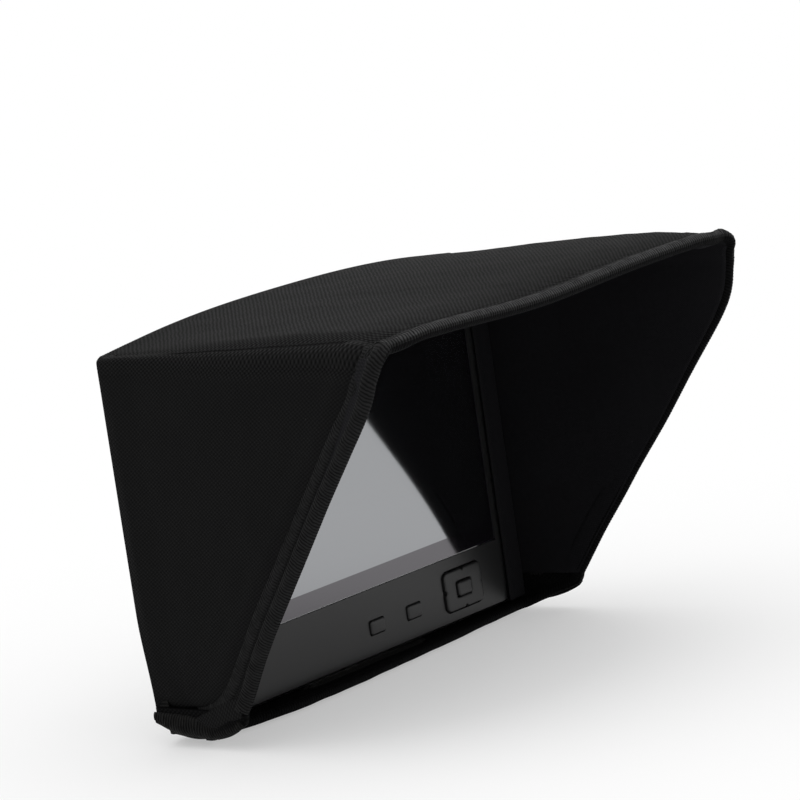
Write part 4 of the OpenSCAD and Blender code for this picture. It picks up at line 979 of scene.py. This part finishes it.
# The face, then down into the select key's opening
rings += [(PAD_W - 2.0, PAD_H - 2.0, 1.2, -13.55), (5.4, 3.9, 1.1, -13.48), (4.9, 3.4, 1.2, -13.42),
          (4.62, 3.12, 1.1, -13.2), (4.55, 3.05, 1.05, -12.8), (4.55, 3.05, 1.05, FACE_Y + 1.4)]
bm, _ = stacked(rings, 176, pad_notch)
bmesh.ops.translate(bm, vec=(PAD_X, 0, PAD_Z), verts=bm.verts)
bmesh.ops.recalc_face_normals(bm, faces=bm.faces)
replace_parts(piece("rocker_pad", bm, "pad", KEYS), "nav_pad")

GLASS_LOW, GLASS_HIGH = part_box("screen_glass")
glass_w, glass_h = [(GLASS_HIGH[i] - GLASS_LOW[i]) * 500 for i in (0, 2)]
glass_x, glass_z = [(GLASS_HIGH[i] + GLASS_LOW[i]) * 500 for i in (0, 2)]
front_y, back_y = GLASS_LOW[1] * 1000, GLASS_HIGH[1] * 1000
rings = [(glass_w, glass_h, 1.2, back_y), (glass_w, glass_h, 1.2, front_y + 0.3),
         (glass_w - 0.12, glass_h - 0.12, 1.1, front_y + 0.06),
         (glass_w - 0.35, glass_h - 0.35, 1.0, front_y),
         (glass_w - 2.2, glass_h - 4.6, 0.3, front_y, 2.7)]
bm = cap(rings, (glass_x, 0, glass_z), segments=96)
# The front's one big face shows the dark screen; the edge faces at the foot are light grey, ground glass and a
# painted highlight along the glass's lower edge; all else is printed
for face in bm.faces:
    middle = face.calc_center_median()
    foot_highlight = middle.z < glass_z - glass_h + 0.4 and middle.y < front_y + 0.2
    face.material_index = 1 if len(face.verts) > 4 else 2 if foot_highlight else 0
made = piece("screen_pane", bm, "monitor", [PRINT, PANE, GROUND_EDGE_HIGHLIGHT],
             smooth_faces=False)
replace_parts(made, "screen_glass")

# ---- floor, light and camera --------------------------------------------------------------------
scene = bpy.context.scene
scene.view_settings.view_transform = "Standard"

FLOOR_GAP = 0.0012      # metres under the lowest cloth, for the threads that stand out of it
floor_mesh = bmesh.new()
bmesh.ops.create_circle(floor_mesh, segments=96, radius=14.0, cap_ends=True)
bmesh.ops.translate(floor_mesh, vec=(0, 0, LOW_Z * 0.001 - FLOOR_GAP), verts=floor_mesh.verts)
floor_data = bpy.data.meshes.new("floor")
floor_mesh.to_mesh(floor_data)
floor_mesh.free()
floor = bpy.data.objects.new("floor", floor_data)
scene.collection.objects.link(floor)
paper, tree, shader = begin("white_paper")
shader.inputs["Base Color"].default_value = (0.93, 0.93, 0.93, 1)
shader.inputs["Roughness"].default_value = 0.9
shader.inputs["Specular IOR Level"].default_value = 0.1


def seen_directly(tree):
    path = node(tree, "ShaderNodeLightPath").outputs
    return sums(tree, "MAXIMUM", sums(tree, "MAXIMUM", path["Is Camera Ray"], path["Is Glossy Ray"]),
                path["Is Transmission Ray"])


# Away from the object the paper is plain white; near it, it keeps the shadow
away = node(tree, "ShaderNodeVectorMath", operation="LENGTH")
tree.links.new(object_place(tree), away.inputs[0])
far = spread_to(tree, away.outputs["Value"], 0.1, 0.34, 0.4, 1.0)
glow = node(tree, "ShaderNodeEmission")
blend = node(tree, "ShaderNodeMixShader")
tree.links.new(sums(tree, "MULTIPLY", far, seen_directly(tree)), blend.inputs[0])
tree.links.new(shader.outputs[0], blend.inputs[1])
tree.links.new(glow.outputs[0], blend.inputs[2])
tree.links.new(blend.outputs[0], tree.nodes["Material Output"].inputs["Surface"])
floor_data.materials.append(paper)

world = bpy.data.worlds.new("studio")
scene.world = world
world.use_nodes = True
tree = world.node_tree
sky = tree.nodes["Background"]
feed(tree, sky.inputs["Color"], (1, 1, 1, 1))
feed(tree, sky.inputs["Strength"], spread_to(tree, seen_directly(tree), 0.0, 1.0, 0.9, 1.0))


LAMP_AT, LAMP_AIM = Vector((0.0, 0.2, 2.4)), Vector((0, -0.05, 0.1))
softbox = bpy.data.lights.new("overhead", "AREA")
softbox.shape = "RECTANGLE"
softbox.size = softbox.size_y = 3.4
softbox.energy = 16
overhead = bpy.data.objects.new("overhead", softbox)
overhead.location = LAMP_AT
overhead.rotation_euler = (LAMP_AIM - LAMP_AT).to_track_quat("-Z", "Y").to_euler()
scene.collection.objects.link(overhead)

AZ, EL, ROLL_ANGLE = math.radians(-50.37), math.radians(10.31), math.radians(-8.21)
AIM, DISTANCE = Vector((0, -0.0524, 0.065)), 1.327
lens = bpy.data.cameras.new("camera")
lens.lens = 168.84
lens.sensor_width = 36.0
lens.shift_x = -0.0377
lens.shift_y = 0.108
lens.clip_start, lens.clip_end = 0.05, 60
camera = bpy.data.objects.new("camera", lens)
scene.collection.objects.link(camera)
back = Vector((math.sin(AZ) * math.cos(EL), -math.cos(AZ) * math.cos(EL), math.sin(EL)))
right = (-back).cross(Vector((0, 0, 1))).normalized()
up = right.cross(-back)
c, s = math.cos(ROLL_ANGLE), math.sin(ROLL_ANGLE)
right, up = right * c + up * s, up * c - right * s
turned = Matrix((right, up, back)).transposed().to_4x4()
turned.translation = AIM + back * DISTANCE
camera.matrix_world = turned
scene.camera = camera
